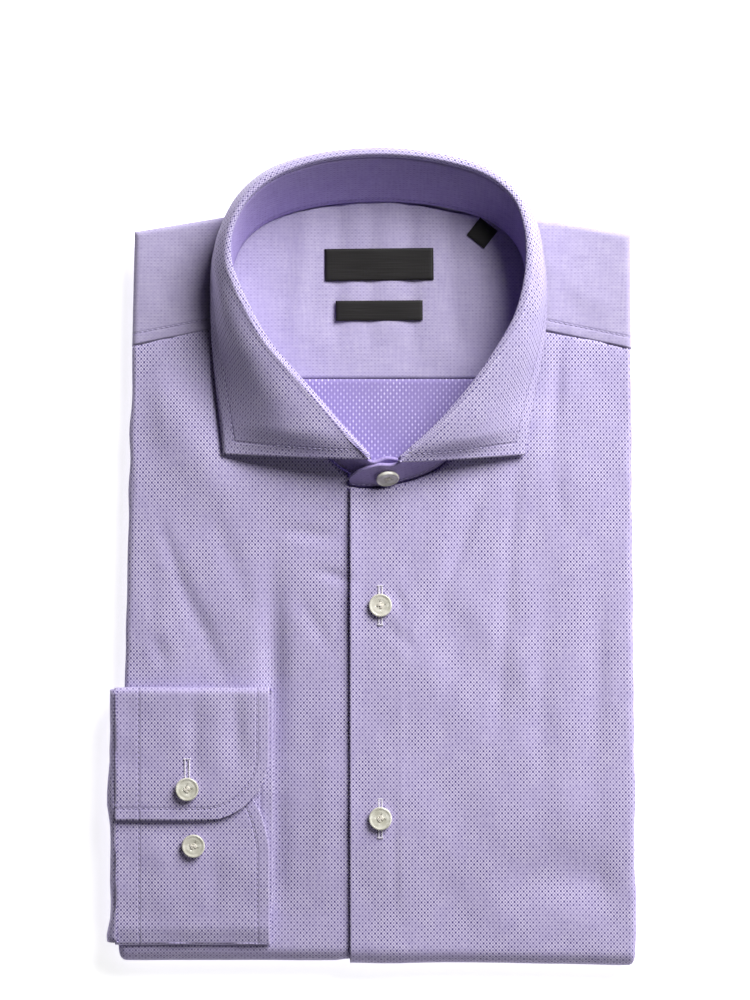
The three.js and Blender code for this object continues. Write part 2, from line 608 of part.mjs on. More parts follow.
// The cuff is a strip round the wrist, pressed flat: its section runs from the end with the
// spare button, round the bottom, under the whole cuff, round the top and down to the other end.
function cuffSection() {
  const { lower, under, upper } = CUFF_LEVELS;
  const half = INTERLINED / 2;
  const path = [];
  const line = (fromY, toY, level, count) => steps(fromY, toY, count).forEach((y) => path.push([y, level + half]));
  const turn = (y, from, to, sign) => {
    const radius = (to - from) / 2;
    steps(-Math.PI / 2, Math.PI / 2, 6)
      .slice(1, -1)
      .forEach((a) => path.push([y + sign * Math.abs(radius) * Math.cos(a), (from + to) / 2 + half + radius * Math.sin(a)]));
  };
  const bottomR = (under - lower) / 2 + half;
  const topR = (upper - lower) / 2 + half;
  line(CUFF.underEnd, CUFF.bottom + bottomR, under, 9);
  turn(CUFF.bottom + bottomR, under, lower, -1);
  line(CUFF.bottom + bottomR, CUFF.top - topR, lower, 8);
  turn(CUFF.top - topR, lower, upper, 1);
  line(CUFF.top - topR, CUFF.upperEnd, upper, 8);
  return path;
}

function cuff() {
  const path = cuffSection();
  const lengths = [0];
  for (let i = 1; i < path.length; i++)
    lengths.push(lengths[i - 1] + Math.hypot(path[i][0] - path[i - 1][0], path[i][1] - path[i - 1][1]));
  const whole = lengths.at(-1);
  const cornerSteps = [0.3, 1.5, 4, 8, 14, CUFF_CORNER];
  const wanted = [...lengths, ...cornerSteps, ...cornerSteps.map((d) => whole - d)];
  const stations = [...new Set(wanted)].sort((a, b) => a - b).filter((s, i, all) => i === 0 || s - all[i - 1] > 0.25);
  const pointAt = (s) => {
    const i = Math.max(1, lengths.findIndex((l) => l >= s - 1e-9));
    const share = (s - lengths[i - 1]) / (lengths[i] - lengths[i - 1]);
    return [lerp(path[i - 1][0], path[i][0], share), lerp(path[i - 1][1], path[i][1], share)];
  };
  const rightEnd = (s) => {
    const left = Math.min(s, whole - s);
    const right = CUFF.right - UNDER_LEAN.offset * Math.max(0, 1 - s / UNDER_LEAN.reach) ** 1.5;
    if (left >= CUFF_CORNER) return right;
    return right - CUFF_CORNER + Math.sqrt(CUFF_CORNER ** 2 - (CUFF_CORNER - left) ** 2);
  };
  const grid = (offset) =>
    stations.map((s) =>
      steps(0, 1, 7).map((u) => {
        const [y, level] = pointAt(s);
        const before = pointAt(Math.max(0, s - 0.2));
        const after = pointAt(Math.min(whole, s + 0.2));
        const ahead = new THREE.Vector2(after[0] - before[0], after[1] - before[1]).normalize();
        const x = lerp(CUFF.left, rightEnd(s), u);
        const ground = topHeight(Math.max(x, leftEdge(y) + ROLL_R), Math.max(y, CUFF.bottom + 12));
        return new THREE.Vector3(x, y - ahead.y * offset, ground + level + ahead.x * offset);
      }),
    );
  return wallBetween(grid(-INTERLINED / 2), grid(INTERLINED / 2));
}

function sleeve() {
  const start = topHeight(-112, -140) + 2.7;
  const middle = curveThrough(
    [
      [CUFF.left - 2 * SEAM_GAP, start],
      [-118.7, start - 0.5],
      [-119.4, start - 2.6],
      [-119.3, 11],
      [-118.6, 8.6],
      [-116.4, 7.1],
      [-110, MID],
      [SLEEVE_IN_X, MID],
    ].map(([x, z]) => new THREE.Vector3(x, 0, z)),
  );
  const surface = (u, v) => {
    const point = middle.getPoint(u);
    const ahead = middle.getTangent(u);
    const y = lerp(CUFF.bottom + 1.2, CUFF.top - 1.2, v);
    return new THREE.Vector3(point.x + ahead.z * (SLEEVE / 2), y, point.z - ahead.x * (SLEEVE / 2));
  };
  const under = (u, v) => {
    const point = middle.getPoint(u);
    const ahead = middle.getTangent(u);
    const y = lerp(CUFF.bottom + 1.2, CUFF.top - 1.2, v);
    return new THREE.Vector3(point.x - ahead.z * (SLEEVE / 2), y, point.z + ahead.x * (SLEEVE / 2));
  };
  const us = steps(0, 1, 14);
  const vs = steps(0, 1, 4);
  const grid = (face) => vs.map((v) => us.map((u) => face(u, v)));
  return wallBetween(grid(surface), grid(under));
}

// Buttons and labels

function button() {
  const r = BUTTON_D / 2;
  const profile = [
    [0, 0],
    [r * 0.72, 0],
    [r * 0.93, 0.7],
    [r, 1.5],
    [r * 0.96, 2.2],
    [r * 0.84, BUTTON_H],
    [r * 0.68, 2.2],
    [r * 0.62, 1.7],
    [r * 0.35, 1.55],
    [0, 1.5],
  ].map(([x, y]) => new THREE.Vector2(x, y));
  return new THREE.LatheGeometry(profile, 16).rotateX(Math.PI / 2);
}

function labelPlate({ x, y, width, height, turn }) {
  const angle = THREE.MathUtils.degToRad(turn);
  const face = (up) =>
    steps(-0.5, 0.5, 1).map((v) =>
      steps(-0.5, 0.5, 2).map((u) => {
        const px = x + u * width * Math.cos(angle) - v * height * Math.sin(angle);
        const py = y + u * width * Math.sin(angle) + v * height * Math.cos(angle);
        return new THREE.Vector3(px, py, liningHeight(x, y) + SEAM_GAP + 0.1 + up);
      }),
    );
  return wallBetween(face(LABEL), face(0));
}

// Assembly

const shirt = new THREE.Group();

function add(name, geometry, finish) {
  const mesh = new THREE.Mesh(geometry, new THREE.MeshStandardMaterial(finish));
  mesh.name = name;
  shirt.add(mesh);
  return mesh;
}

add("front_left", front("left"), LAVENDER);
add("front_right", front("right"), LAVENDER);
add("yoke", yoke(), LAVENDER);
add("yoke_lining", yokeLining(), LAVENDER);
add("back", back(), LAVENDER_REVERSE);
add("hidden_layers", hiddenLayers(), LAVENDER);
add("collar_stand", collarStand(), LAVENDER);
add("collar_leaf", collarLeaf(), LAVENDER);
add("sleeve_right", sleeve(), LAVENDER);
add("cuff_right", cuff(), LAVENDER);

BUTTON_YS.forEach((y, i) => {
  const seat = topHeight(BUTTON_X, y) + LAYER + SEAM_GAP;
  add(`front_button_${i + 1}`, button(), PEARL).position.set(BUTTON_X, y, seat);
});
CUFF_BUTTONS.forEach(({ x, y, ply }, i) => {
  const seat = topHeight(x, y) + CUFF_LEVELS[ply] + INTERLINED + SEAM_GAP + 0.1;
  add(`cuff_button_${i + 1}`, button(), PEARL).position.set(x, y, seat);
});
seatOnStand(add("collar_button", button(), PEARL));

for (const label of LABELS) add(label.name, labelPlate(label), BLACK_SATIN);

// The origin is on the table, under the middle of the whole shirt.
shirt.updateMatrixWorld(true);
const box = new THREE.Box3().setFromObject(shirt, true);
const middle = box.getCenter(new THREE.Vector3());
for (const mesh of shirt.children) mesh.position.sub(new THREE.Vector3(middle.x, middle.y, box.min.z));

export default shirt;
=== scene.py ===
"""A folded long sleeve dress shirt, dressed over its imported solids.

Lengths are in millimetres in the working frame of the sewing tables below, and are turned into
metres in the model's frame when a piece is made. X is to the viewer's right, Y towards the back
of the neck and Z up from the table.
"""
import math

import bmesh
import bpy
import numpy as np
from bpy.props import FloatProperty, FloatVectorProperty, PointerProperty
from mathutils import Matrix, Vector


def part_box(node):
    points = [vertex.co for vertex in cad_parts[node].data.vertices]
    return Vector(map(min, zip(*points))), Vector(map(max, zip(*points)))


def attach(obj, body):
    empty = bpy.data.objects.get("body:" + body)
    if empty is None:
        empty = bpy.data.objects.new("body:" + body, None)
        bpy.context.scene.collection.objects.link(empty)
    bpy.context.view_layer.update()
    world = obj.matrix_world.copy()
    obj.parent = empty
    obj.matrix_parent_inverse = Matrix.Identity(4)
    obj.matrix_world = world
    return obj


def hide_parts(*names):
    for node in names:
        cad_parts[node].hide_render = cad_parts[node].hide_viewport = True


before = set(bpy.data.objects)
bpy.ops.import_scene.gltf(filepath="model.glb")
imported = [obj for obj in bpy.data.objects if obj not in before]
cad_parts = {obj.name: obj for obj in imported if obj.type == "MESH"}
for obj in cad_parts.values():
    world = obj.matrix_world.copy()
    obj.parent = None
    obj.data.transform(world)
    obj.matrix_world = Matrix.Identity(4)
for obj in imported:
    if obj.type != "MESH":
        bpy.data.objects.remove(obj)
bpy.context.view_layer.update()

bl_info = {
    "name": "Folded dress shirt",
    "version": (1, 0, 0),
    "blender": (4, 5, 0),
    "location": "View3D > Sidebar > Shirt",
    "description": "Makes the cloth, sewing, buttons and labels of a folded long sleeve shirt",
    "category": "Object",
}

MM = 0.001

# The folded stack, as its solids have it
LAYER = 1.5  # one ply and the clearance over it
STACK = 14.0
MID = STACK / 2
ROLL = 5.2
ROLL_R = ROLL / 2
TURN_IN = 9.0
CROWN = 2.4
TAIL_INSET = 1.5
EDGE_TOP_Y = 120.0
LEFT_TOP_X = -108.5
LEFT_SPREAD = 0.0222
RIGHT_TOP_X = 115.2
RIGHT_SPREAD = 0.0083
SHOULDER_X = 66.0
SHOULDER_Y = 128.0
SHOULDER_SLOPE = 0.165
NAPE_RISE = 9.0
BEND_LEFT_Y = -201.3
BEND_RIGHT_Y = -199.2
TAIL_END_Y = 100.0
PLACKET_X = -11.3
UNDER_X = 14.0
OVERLAP_SLOPE, LAP_SLOPE = 7.0, 30.0
SEAM_X = 74.3
SEAM_Y = 76.5
SEAM_SLOPE = 0.21
YOKE_BACK_Y = 54.9
BUTTON_X = 2.4
BUTTON_YS = (-47.3, -143.1)

# Cuff
CUFF_LEFT, CUFF_RIGHT = -117.0, -47.3
CUFF_TOP, CUFF_BOTTOM = -84.2, -200.2
CUFF_UPPER_END, CUFF_UNDER_END = -143.9, -113.0
CUFF_CORNER = 30.0
UNDER_LEAN, UNDER_LEAN_REACH = 16.0, 44.5
CUFF_LOWER, CUFF_UNDER, CUFF_UPPER = 0.35, 2.3, 4.4
INTERLINED = 1.6

# Soft folds: middle x, y, direction from +X, half length, half width, rise
FOLDS = (
    (-84, -58, 118, 30, 9, -0.7),
    (-98, -60, 112, 26, 8, 0.5),
    (-78, 28, 120, 28, 9, 0.7),
    (-44, -72, 92, 28, 9, -0.6),
    (32, -18, 62, 30, 8, 0.6),
    (74, -30, 96, 46, 9, -0.6),
    (98, -110, 90, 60, 8, -0.6),
    (84, -168, 35, 34, 14, -0.6),
    (52, -60, 128, 40, 8, 0.5),
    (96, 92, 140, 20, 6, 0.6),
    (-92, 96, 40, 20, 7, -0.6),
)
# Smaller creases, which only the cloth has
CREASES = (
    (-86, 28, 123, 35, 12.0, 2.1),
    (-78, -57, 115, 19, 4.4, -1.15),
    (-97, -68, 117, 8, 4.1, -0.83),
    (-90, -29, 109, 18, 3.1, -0.68),
    (-65, -27, 112, 20, 4.6, -0.52),
    (-46, -78, 90, 40, 5.4, -3.1),
    (-45, -160, 89, 37, 5.8, -1.9),
    (-30, -15, 172, 11, 3.1, -0.83),
    (-18, -34, 166, 8, 2.5, -0.90),
    (-27, -56, 121, 14, 3.6, -0.60),
    (39, -20, 69, 29, 3.6, -1.20),
    (61, -24, 86, 40, 3.3, -0.68),
    (57, -76, 86, 34, 4.4, -0.7),
    (75, -92, 91, 40, 5.2, -0.8),
    (101, -73, 88, 34, 5.4, -1.0),
    (82, 51, 86, 18, 3.1, -1.42),
    (82, 12, 94, 22, 4.1, -0.60),
    (71, 22, 83, 24, 5.2, 0.68),
    (28, -83, 125, 33, 10.7, 1.1),
    (10, -61, 139, 10, 3.6, -0.5),
    (11, -45, 105, 5, 2.1, -0.60),
    (93, -173, 169, 27, 13.3, -1.7),
    (9, -170, 91, 25, 2.5, -0.45),
    (12, -132, 90, 67, 1.2, 0.16),
    (33, -85, 79, 24, 4.6, -0.52),
    (-22, -134, 88, 47, 6.1, 0.68),
    (-13, -120, 90, 61, 3.1, 0.35),
    (33, -3, 69, 26, 5.8, 0.9),
    (71, -58, 86, 33, 5.3, 0.5),
    (-102, -44, 99, 19, 4.5, -0.7),
)

# The same on the cuff
CUFF_CREASES = (
    (-81, -108, 90, 20, 3.4, -0.77),
    (-71, -106, 92, 15, 4.0, 0.42),
    (-62, -102, 92, 17, 4.0, -0.98),
    (-96, -174, 89, 19, 6.8, 0.49),
    (-72, -177, 88, 18, 4.0, -0.49),
)

# Folds of the yoke lining: middle x at the labels, lean, half width, rise
LABELS_Y = 90.0
LINING_CREASES = (
    (-34, 0.1, 5, 0.9),
    (-17, 0.03, 4, -0.8),
    (-2, 0.02, 3.6, -0.5),
    (17, -0.02, 4, -0.8),
    (36, -0.06, 5, -0.9),
    (6, 0.02, 6, 0.35),
)

# The sleeve's path round the edge: x, the share of the cuff's height, and what is added to it
SLEEVE_KNOTS = (
    (-115.8, 1, 0.1),
    (-117.3, 1, -0.3),
    (-118.9, 1, -1.8),
    (-119.6, 0.9, -3.4),
    (-119.4, 0, 11),
    (-118.4, 0, 8.6),
    (-116, 0, 7.1),
    (-110, 0, 7),
    (-99, 0, 7),
)
SLEEVE_HALF, SLEEVE_WALL = 1.3, 0.6

# Lines of stitches, in from the edge they follow
LEAF_STITCH, STAND_STITCH, YOKE_STITCH = 6.0, 1.8, 5.4
CUFF_STITCH, CUFF_SEAM = 5.5, 11.0
CUFF_HOLE = (-83.4, -124.2)

# Collar stations: base x, y; fold x, y, z; leaf edge x, y, z
COLLAR = np.array((
    (8, 8.6, 10.5, 19.2, 31, 67.5, 20.3, 18.4),
    (20, 11.8, 21, 28.4, 33, 69.5, 33, 18.3),
    (31, 18.5, 31.7, 39.2, 34.5, 71.8, 45, 18),
    (44, 34, 44.5, 54.2, 36, 74.3, 57.5, 17.6),
    (55, 52, 55.3, 70.3, 37.5, 76.3, 70, 17.2),
    (62, 67, 61.7, 82, 38.5, 77.4, 83, 17),
    (66, 80, 65.4, 94.9, 39.5, 77.6, 96, 17),
    (68, 94, 66.9, 108, 40, 76.2, 109, 16.8),
    (66.5, 107, 66, 121, 40.3, 73.5, 122, 16),
    (61, 118, 61, 134.4, 40.5, 67.5, 137.4, 9),
    (49, 126.5, 48, 145, 40.5, 53, 149.4, 4),
    (28, 132.3, 26, 151.3, 40.5, 28, 155.3, 2.2),
    (2, 134.3, 2, 153.4, 40.5, 2, 157, 2),
    (-24, 132.3, -22, 151.3, 40.5, -24, 155.3, 2.2),
    (-45, 126.5, -42.4, 144.6, 40.5, -45.8, 149.6, 4),
    (-57, 118, -55.6, 134.4, 40.5, -60.6, 138, 9),
    (-63, 107, -62.7, 121, 40.3, -69, 122.6, 16),
    (-65, 94, -63.7, 108, 40, -73.4, 109, 16.8),
    (-62.5, 81, -60.8, 98, 39.5, -74.1, 96, 17),
    (-57.5, 68, -55.3, 86, 38.5, -74, 83, 17),
    (-49.5, 54, -47.8, 72.5, 37.5, -73.4, 70, 17.2),
    (-38.5, 40.5, -37.5, 60, 36, -72.3, 57.5, 17.6),
    (-27, 27.5, -26, 47, 34.5, -70.9, 45, 18),
    (-15.5, 16.5, -13.8, 33, 33, -69.6, 33, 18.3),
    (-5, 10.6, -2, 20.2, 31, -68.6, 20.5, 18.4),
), float)
COLLAR_ROLL, FRONT_ROLL, BACK_ROLL = 2.0, 1.4, 0.85
FRONT_BLEND = 0.05
SEAM_BELOW_FOLD = 2.6
LEAF_BULGE, BACK_BULGE, FRONT_BULGE = 2.6, 1.3, 0.5
# The stand beyond the leaf: base x, y; top x, y, z
STAND_OUTER = ((-11.2, 7.9, -11.2, 11, 20.5), (-7, 7.2, -6.6, 14.2, 25.5), (0, 7.2, 1, 16.6, 28))
STAND_INNER = ((3, 10.7, 5, 19.8, 27.2), (9, 11.7, 10.5, 18.9, 24.6), (14, 13.2, 14.5, 17.2, 21))

BUTTON_BOX = [np.array(corner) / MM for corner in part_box("front_button_1")]
SHIFT = (BUTTON_BOX[0] + BUTTON_BOX[1]) / 2 - np.array((BUTTON_X, BUTTON_YS[0], 0))
SHIFT[2] = 0


# Plain sums


def smooth(value, start, end):
    share = np.clip((np.asarray(value, float) - start) / (end - start), 0, 1)
    return share * share * (3 - 2 * share)


def bell(value, width):
    return np.exp(-((np.asarray(value, float) / width) ** 2))


def steps(start, end, count):
    return np.linspace(start, end, count + 1)


def joined(*runs):
    """One run of values from several that share their ends."""
    return np.concatenate([runs[0]] + [run[1:] for run in runs[1:]])


def unit(vectors):
    return vectors / np.maximum(np.linalg.norm(vectors, axis=-1, keepdims=True), 1e-9)


def stacked(x, y, z):
    return np.stack(np.broadcast_arrays(x, y, z), axis=-1).astype(float)


def through(controls, t):
    """Points at t, from 0 to 1, on smooth curves through the controls, an array of points each."""
    knots = np.stack(controls)
    knots = np.concatenate([2 * knots[:1] - knots[1:2], knots, 2 * knots[-1:] - knots[-2:-1]])
    spans = len(controls) - 1
    t = np.clip(np.asarray(t, float), 0, 1) * spans
    first = np.minimum(t.astype(int), spans - 1)
    share = (t - first)[:, None]
    row = np.arange(len(t))
    p0, p1, p2, p3 = (knots[first + k, row] for k in range(4))
    out, back = 0.5 * (p2 - p0), 0.5 * (p3 - p1)
    cubic = (2 * p1 - 2 * p2 + out + back) * share**3
    return cubic + (3 * p2 - 3 * p1 - 2 * out - back) * share**2 + out * share + p1


def along(points, t):
    t = np.atleast_1d(np.asarray(t, float))
    return through([np.broadcast_to(p, (len(t), len(p))) for p in np.asarray(points, float)], t)


def ripple(a, b, seed, shortest, longest, count=9):
    """Small uneven waves over a surface, about 1 high, the same each time for one seed."""
    draw = np.random.default_rng(seed)
    total = 0
    for _ in range(count):
        length = draw.uniform(shortest, longest)
        angle, phase = draw.uniform(0, math.tau), draw.uniform(0, math.tau)
        along_wave = a * math.cos(angle) + b * math.sin(angle)
        total = total + np.sin(along_wave * math.tau / length + phase)
    return total / math.sqrt(count)


# The outline and height of the folded body


def left_edge(y):
    return LEFT_TOP_X - (EDGE_TOP_Y - y) * LEFT_SPREAD


def right_edge(y):
    return RIGHT_TOP_X + (EDGE_TOP_Y - y) * RIGHT_SPREAD


def top_edge(x):
    beyond = np.abs(x) - SHOULDER_X
    nape = SHOULDER_Y + NAPE_RISE * smooth(-beyond, 0, SHOULDER_X)
    return np.where(beyond > 0, SHOULDER_Y - beyond * SHOULDER_SLOPE, nape)


def shoulder_seam(x):
    return SEAM_Y - (np.abs(x) - SEAM_X) * SEAM_SLOPE


def from_middle(x, y):
    half = (right_edge(y) - left_edge(y)) / 2
    middle = (right_edge(y) + left_edge(y)) / 2
    return np.minimum(1, np.abs(x - middle) / half)


def crown(x, y):
    run = smooth(y, BEND_RIGHT_Y, -130) * (1 - smooth(y, 10, 62))
    return CROWN * (1 - from_middle(x, y) ** 3) * run


def pressed(table, x, y):
    """The height that a table of soft folds adds."""
    height = np.zeros(np.broadcast(x, y).shape)
    for middle_x, middle_y, turn, half_long, half_wide, rise in table:
        angle = math.radians(turn)
        dx, dy = x - middle_x, y - middle_y
        lengthwise = (dx * math.cos(angle) + dy * math.sin(angle)) / half_long
        crosswise = (dy * math.cos(angle) - dx * math.sin(angle)) / half_wide
        height = height + rise * np.exp(-(lengthwise**2 + crosswise**2))
    edge = (1 - from_middle(x, y)) * 112
    return height * smooth(edge, 2, 16) * smooth(y, BEND_RIGHT_Y, BEND_RIGHT_Y + 30)


def top_height(x, y):
    """The top of the solids' body."""
    return STACK + crown(x, y) + pressed(FOLDS, x, y)


def under_height(x, y):
    """The underside of the fronts: it follows each trough a little deeper, so none shows through."""
    clear = 0.35 * (1 - smooth(y, 0, 40))
    sunk = 1.4 * pressed(FOLDS, x, y) + 1.15 * pressed(CREASES, x, y)
    return STACK + crown(x, y) + np.minimum(0, sunk) - clear


def lining_height(x, y):
    return under_height(x, y) - LAYER


# Collar curves


def stand_foot(x, y):
    return stacked(x, y, lining_height(x, y) + 0.4 + smooth(y, 95, 120))


def base_at(t):
    points = along(COLLAR[:, :2], t)
    return stand_foot(points[:, 0], points[:, 1])


def fold_at(t):
    return along(COLLAR[:, 2:5], t)


def edge_at(t):
    return along(COLLAR[:, 5:8], t)


def collar_frame(t):
    """The fold line at t, and the directions up the stand and out from the ring."""
    t = np.asarray(t, float)
    fold = fold_at(t)
    up = unit(fold - base_at(t))
    ahead = fold_at(np.minimum(1, t + 0.01)) - fold_at(np.maximum(0, t - 0.01))
    return fold, up, unit(np.cross(ahead, up))


def neck_outline():
    """The cut edge of the cloth round the foot of the stand."""
    t = steps(0, 1, 160)
    foot = base_at(t)[:, :2]
    ahead = base_at(np.minimum(1, t + 0.005))[:, :2] - base_at(np.maximum(0, t - 0.005))[:, :2]
    out = unit(np.stack([ahead[:, 1], -ahead[:, 0]], axis=1))
    inward = (out * (foot - np.array((2, 85)))).sum(axis=1) < 0
    out[inward] *= -1
    clear = 2 + 1.2 * smooth(foot[:, 1], 108, 122)
    ring = foot + out * clear[:, None]
    front = np.array(((-12.4, 10), (-12.4, 6.2), (-7, 5.3), (0, 5.1), (6, 5.6)))
    return np.concatenate([ring, front])


def inside(outline, points):
    """Which points lie inside a closed outline."""
    x, y = points[:, 0], points[:, 1]
    hit = np.zeros(len(points), bool)
    for (x0, y0), (x1, y1) in zip(outline, np.roll(outline, -1, axis=0)):
        if y0 != y1:
            hit ^= ((y0 > y) != (y1 > y)) & (x < (x1 - x0) * (y - y0) / (y1 - y0) + x0)
    return hit


def onto(outline, points):
    """The nearest points of a closed outline."""
    best, least = points.copy(), np.full(len(points), np.inf)
    for start, end in zip(outline, np.roll(outline, -1, axis=0)):
        run = end - start
        share = np.clip(((points - start) @ run) / max(run @ run, 1e-9), 0, 1)
        near = start + share[:, None] * run
        far = np.linalg.norm(points - near, axis=1)
        closer = far < least
        best[closer], least[closer] = near[closer], far[closer]
    return best, least


# Making a piece


def place(obj, nodes, slot):
    """Puts a finished piece on the shirt, in the place of its solids."""
    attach(obj, "root")
    if nodes:
        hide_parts(*nodes)
    return obj


def made_object(name, bm, materials):
    mesh = bpy.data.meshes.new(name)
    bm.to_mesh(mesh)
    bm.free()
    for material in materials:
        mesh.materials.append(material)
    mesh.polygons.foreach_set("use_smooth", [True] * len(mesh.polygons))
    obj = bpy.data.objects.new(name, mesh)
    bpy.context.scene.collection.objects.link(obj)
    return obj


def metres(points):
    return (points + SHIFT) * MM


def laid_flat(grid):
    """Where the threads of a shaped panel lie: the panel unrolled onto flat cloth, with its
    angles kept as well as they can be."""
    rows = np.unique(np.linspace(0, len(grid) - 1, 49).astype(int))
    columns = np.unique(np.linspace(0, len(grid[0]) - 1, 13).astype(int))
    coarse = grid[np.ix_(rows, columns)].reshape(-1, 3)
    count, wide = len(coarse), len(columns)
    corners = []
    for r in range(len(rows) - 1):
        for c in range(wide - 1):
            a = r * wide + c
            corners += [(a, a + 1, a + wide + 1), (a, a + wide + 1, a + wide)]
    system = np.zeros((len(corners), count), complex)
    area = 0
    for i, (a, b, c) in enumerate(corners):
        side, other = coarse[b] - coarse[a], coarse[c] - coarse[a]
        long = np.linalg.norm(side)
        reach = other @ side / long
        rise = math.sqrt(max(1e-9, other @ other - reach * reach))
        spots = (0j, long + 0j, reach + 1j * rise)
        scale = math.sqrt(long * rise)
        area += long * rise / 2
        for k, vert in enumerate((a, b, c)):
            system[i, vert] = (spots[(k + 2) % 3] - spots[(k + 1) % 3]) / scale
    middle = (len(rows) // 2) * wide
    held = {middle: 0j, middle + wide - 1: 1 + 0j}
    free = [i for i in range(count) if i not in held]
    known = sum(system[:, i] * value for i, value in held.items())
    solved = np.zeros(count, complex)
    part = system[:, free]
    solved[free] = np.linalg.solve(part.conj().T @ part, -part.conj().T @ known)
    for i, value in held.items():
        solved[i] = value
    flat_area = 0
    for a, b, c in corners:
        flat_area += abs(((solved[b] - solved[a]).conjugate() * (solved[c] - solved[a])).imag) / 2
    table = solved.reshape(len(rows), wide) * math.sqrt(area / flat_area)
    across = np.array([filled(len(grid[0]), columns, row) for row in table])
    full = np.array([filled(len(grid), rows, column) for column in across.T]).T
    return np.stack([full.real, full.imag], axis=2)


def filled(count, known, values):
    """The complex values at every index up to count, from those at the known ones."""
    places = np.arange(count)
    return np.interp(places, known, values.real) + 1j * np.interp(places, known, values.imag)


def thread_places(grid, grain):
    """The place of each point on its flat cloth in millimetres, and the runs along the grid."""
    across = np.linalg.norm(np.diff(grid, axis=1), axis=2)
    down = np.linalg.norm(np.diff(grid, axis=0), axis=2)
    run_u = np.pad(np.cumsum(across, axis=1), ((0, 0), (1, 0)))
    run_v = np.pad(np.cumsum(down, axis=0), ((1, 0), (0, 0)))
    if grain == "shaped":
        return laid_flat(grid), run_u, run_v
    if grain == "level":
        return np.stack([run_u, np.broadcast_to(run_v[:, :1], run_u.shape)], axis=2), run_u, run_v
    start_x = np.sign(grid[0, 1, 0] - grid[0, 0, 0]) * grid[:, :1, 0]
    start_y = np.sign(grid[1, 0, 1] - grid[0, 0, 1]) * grid[:1, :, 1]
    places = np.stack([run_u + start_x, run_v + start_y], axis=2)
    return (places[:, :, ::-1] if grain == "cross" else places), run_u, run_v


NO_SEAM = 99.0  # as a distance from a line of stitches: none near
HOLE_REACH = 3.2  # how far a point moves to lie on the edge of a hole


def cloth(
    name, surface, us, vs, wall, materials, hole=None, over=None,
    weld=False, turn=False, grain="straight", seams=None,
):
    """A panel of cloth: surface(u, v) is its outer face, wall its thickness. Faces inside the
    outline hole are cut away where over, a test on the points, allows it. seams gives how far
    each point is from two lines of stitches."""
    bm = bmesh.new()
    weave = bm.loops.layers.uv.new("Weave")
    sewn = bm.loops.layers.uv.new("Seams")
    bmesh.ops.create_grid(bm, x_segments=len(us) - 1, y_segments=len(vs) - 1, size=1)
    number = bm.verts.layers.int.new("Number")
    for index, vert in enumerate(bm.verts):
        vert[number] = index
    spots = np.array([vert.co[:2] for vert in bm.verts])
    column = np.rint((spots[:, 0] + 1) / 2 * (len(us) - 1)).astype(int)
    row = np.rint((spots[:, 1] + 1) / 2 * (len(vs) - 1)).astype(int)
    grid_u, grid_v = np.meshgrid(us, vs)
    grid = surface(grid_u.ravel(), grid_v.ravel()).reshape(len(vs), len(us), 3)
    places, run_u, run_v = thread_places(grid, grain)
    lines = seams(grid, run_u, run_v) if seams else (NO_SEAM, NO_SEAM)
    lines = np.stack([np.broadcast_to(line, run_u.shape) for line in lines], axis=2)
    points, threads, lines = grid[row, column], places[row, column], lines[row, column]
    for face in bm.faces:
        for loop in face.loops:
            index = loop.vert[number]
            loop[weave].uv, loop[sewn].uv = threads[index], lines[index]
    if hole is not None:
        faces = list(bm.faces)
        corners = [[vert[number] for vert in face.verts] for face in faces]
        centres = np.array([points[corner].mean(axis=0) for corner in corners])
        cut = inside(hole, centres[:, :2])
        if over is not None:
            cut &= over(centres)
        rim = {vert[number] for edge in bm.edges if edge.is_boundary for vert in edge.verts}
        bmesh.ops.delete(bm, geom=[faces[i] for i in np.flatnonzero(cut)], context="FACES")
        kept = {vert[number] for edge in bm.edges if edge.is_boundary for vert in edge.verts}
        fresh = np.array(sorted(kept - rim), int)
        near, far = onto(hole, points[fresh, :2])
        close = far < HOLE_REACH
        points[fresh[close], :2] = near[close]
    for vert in bm.verts:
        vert.co = metres(points[vert[number]])
    if weld:
        bmesh.ops.remove_doubles(bm, verts=bm.verts, dist=0.02 * MM)
    if turn:
        bmesh.ops.reverse_faces(bm, faces=bm.faces)
    obj = made_object(name, bm, materials)
    shell = obj.modifiers.new("Wall", "SOLIDIFY")
    shell.thickness = wall * MM
    shell.offset = -1
    return obj


def on_surface(surface, u, v):
    """The points and outward normals of a surface at u, v, for what is sewn to it."""
    u, v = np.atleast_1d(np.asarray(u, float)), np.atleast_1d(np.asarray(v, float))
    reach = 1e-3
    points = surface(u, v)
    across = surface(u + reach, v) - surface(u - reach, v)
    down = surface(u, v + reach) - surface(u, v - reach)
    return points, unit(np.cross(across, down))


# Surfaces of the panels: u and v as their grids run


def puckers(x, y):
    """Small waves of the cloth along the yoke seam, more of them on the wearer's left."""
    return np.where(x > 0, 0.14, 0.07) * ripple(x, y * 0.1, 91, 5, 9) * bell(y - shoulder_seam(x), 4)


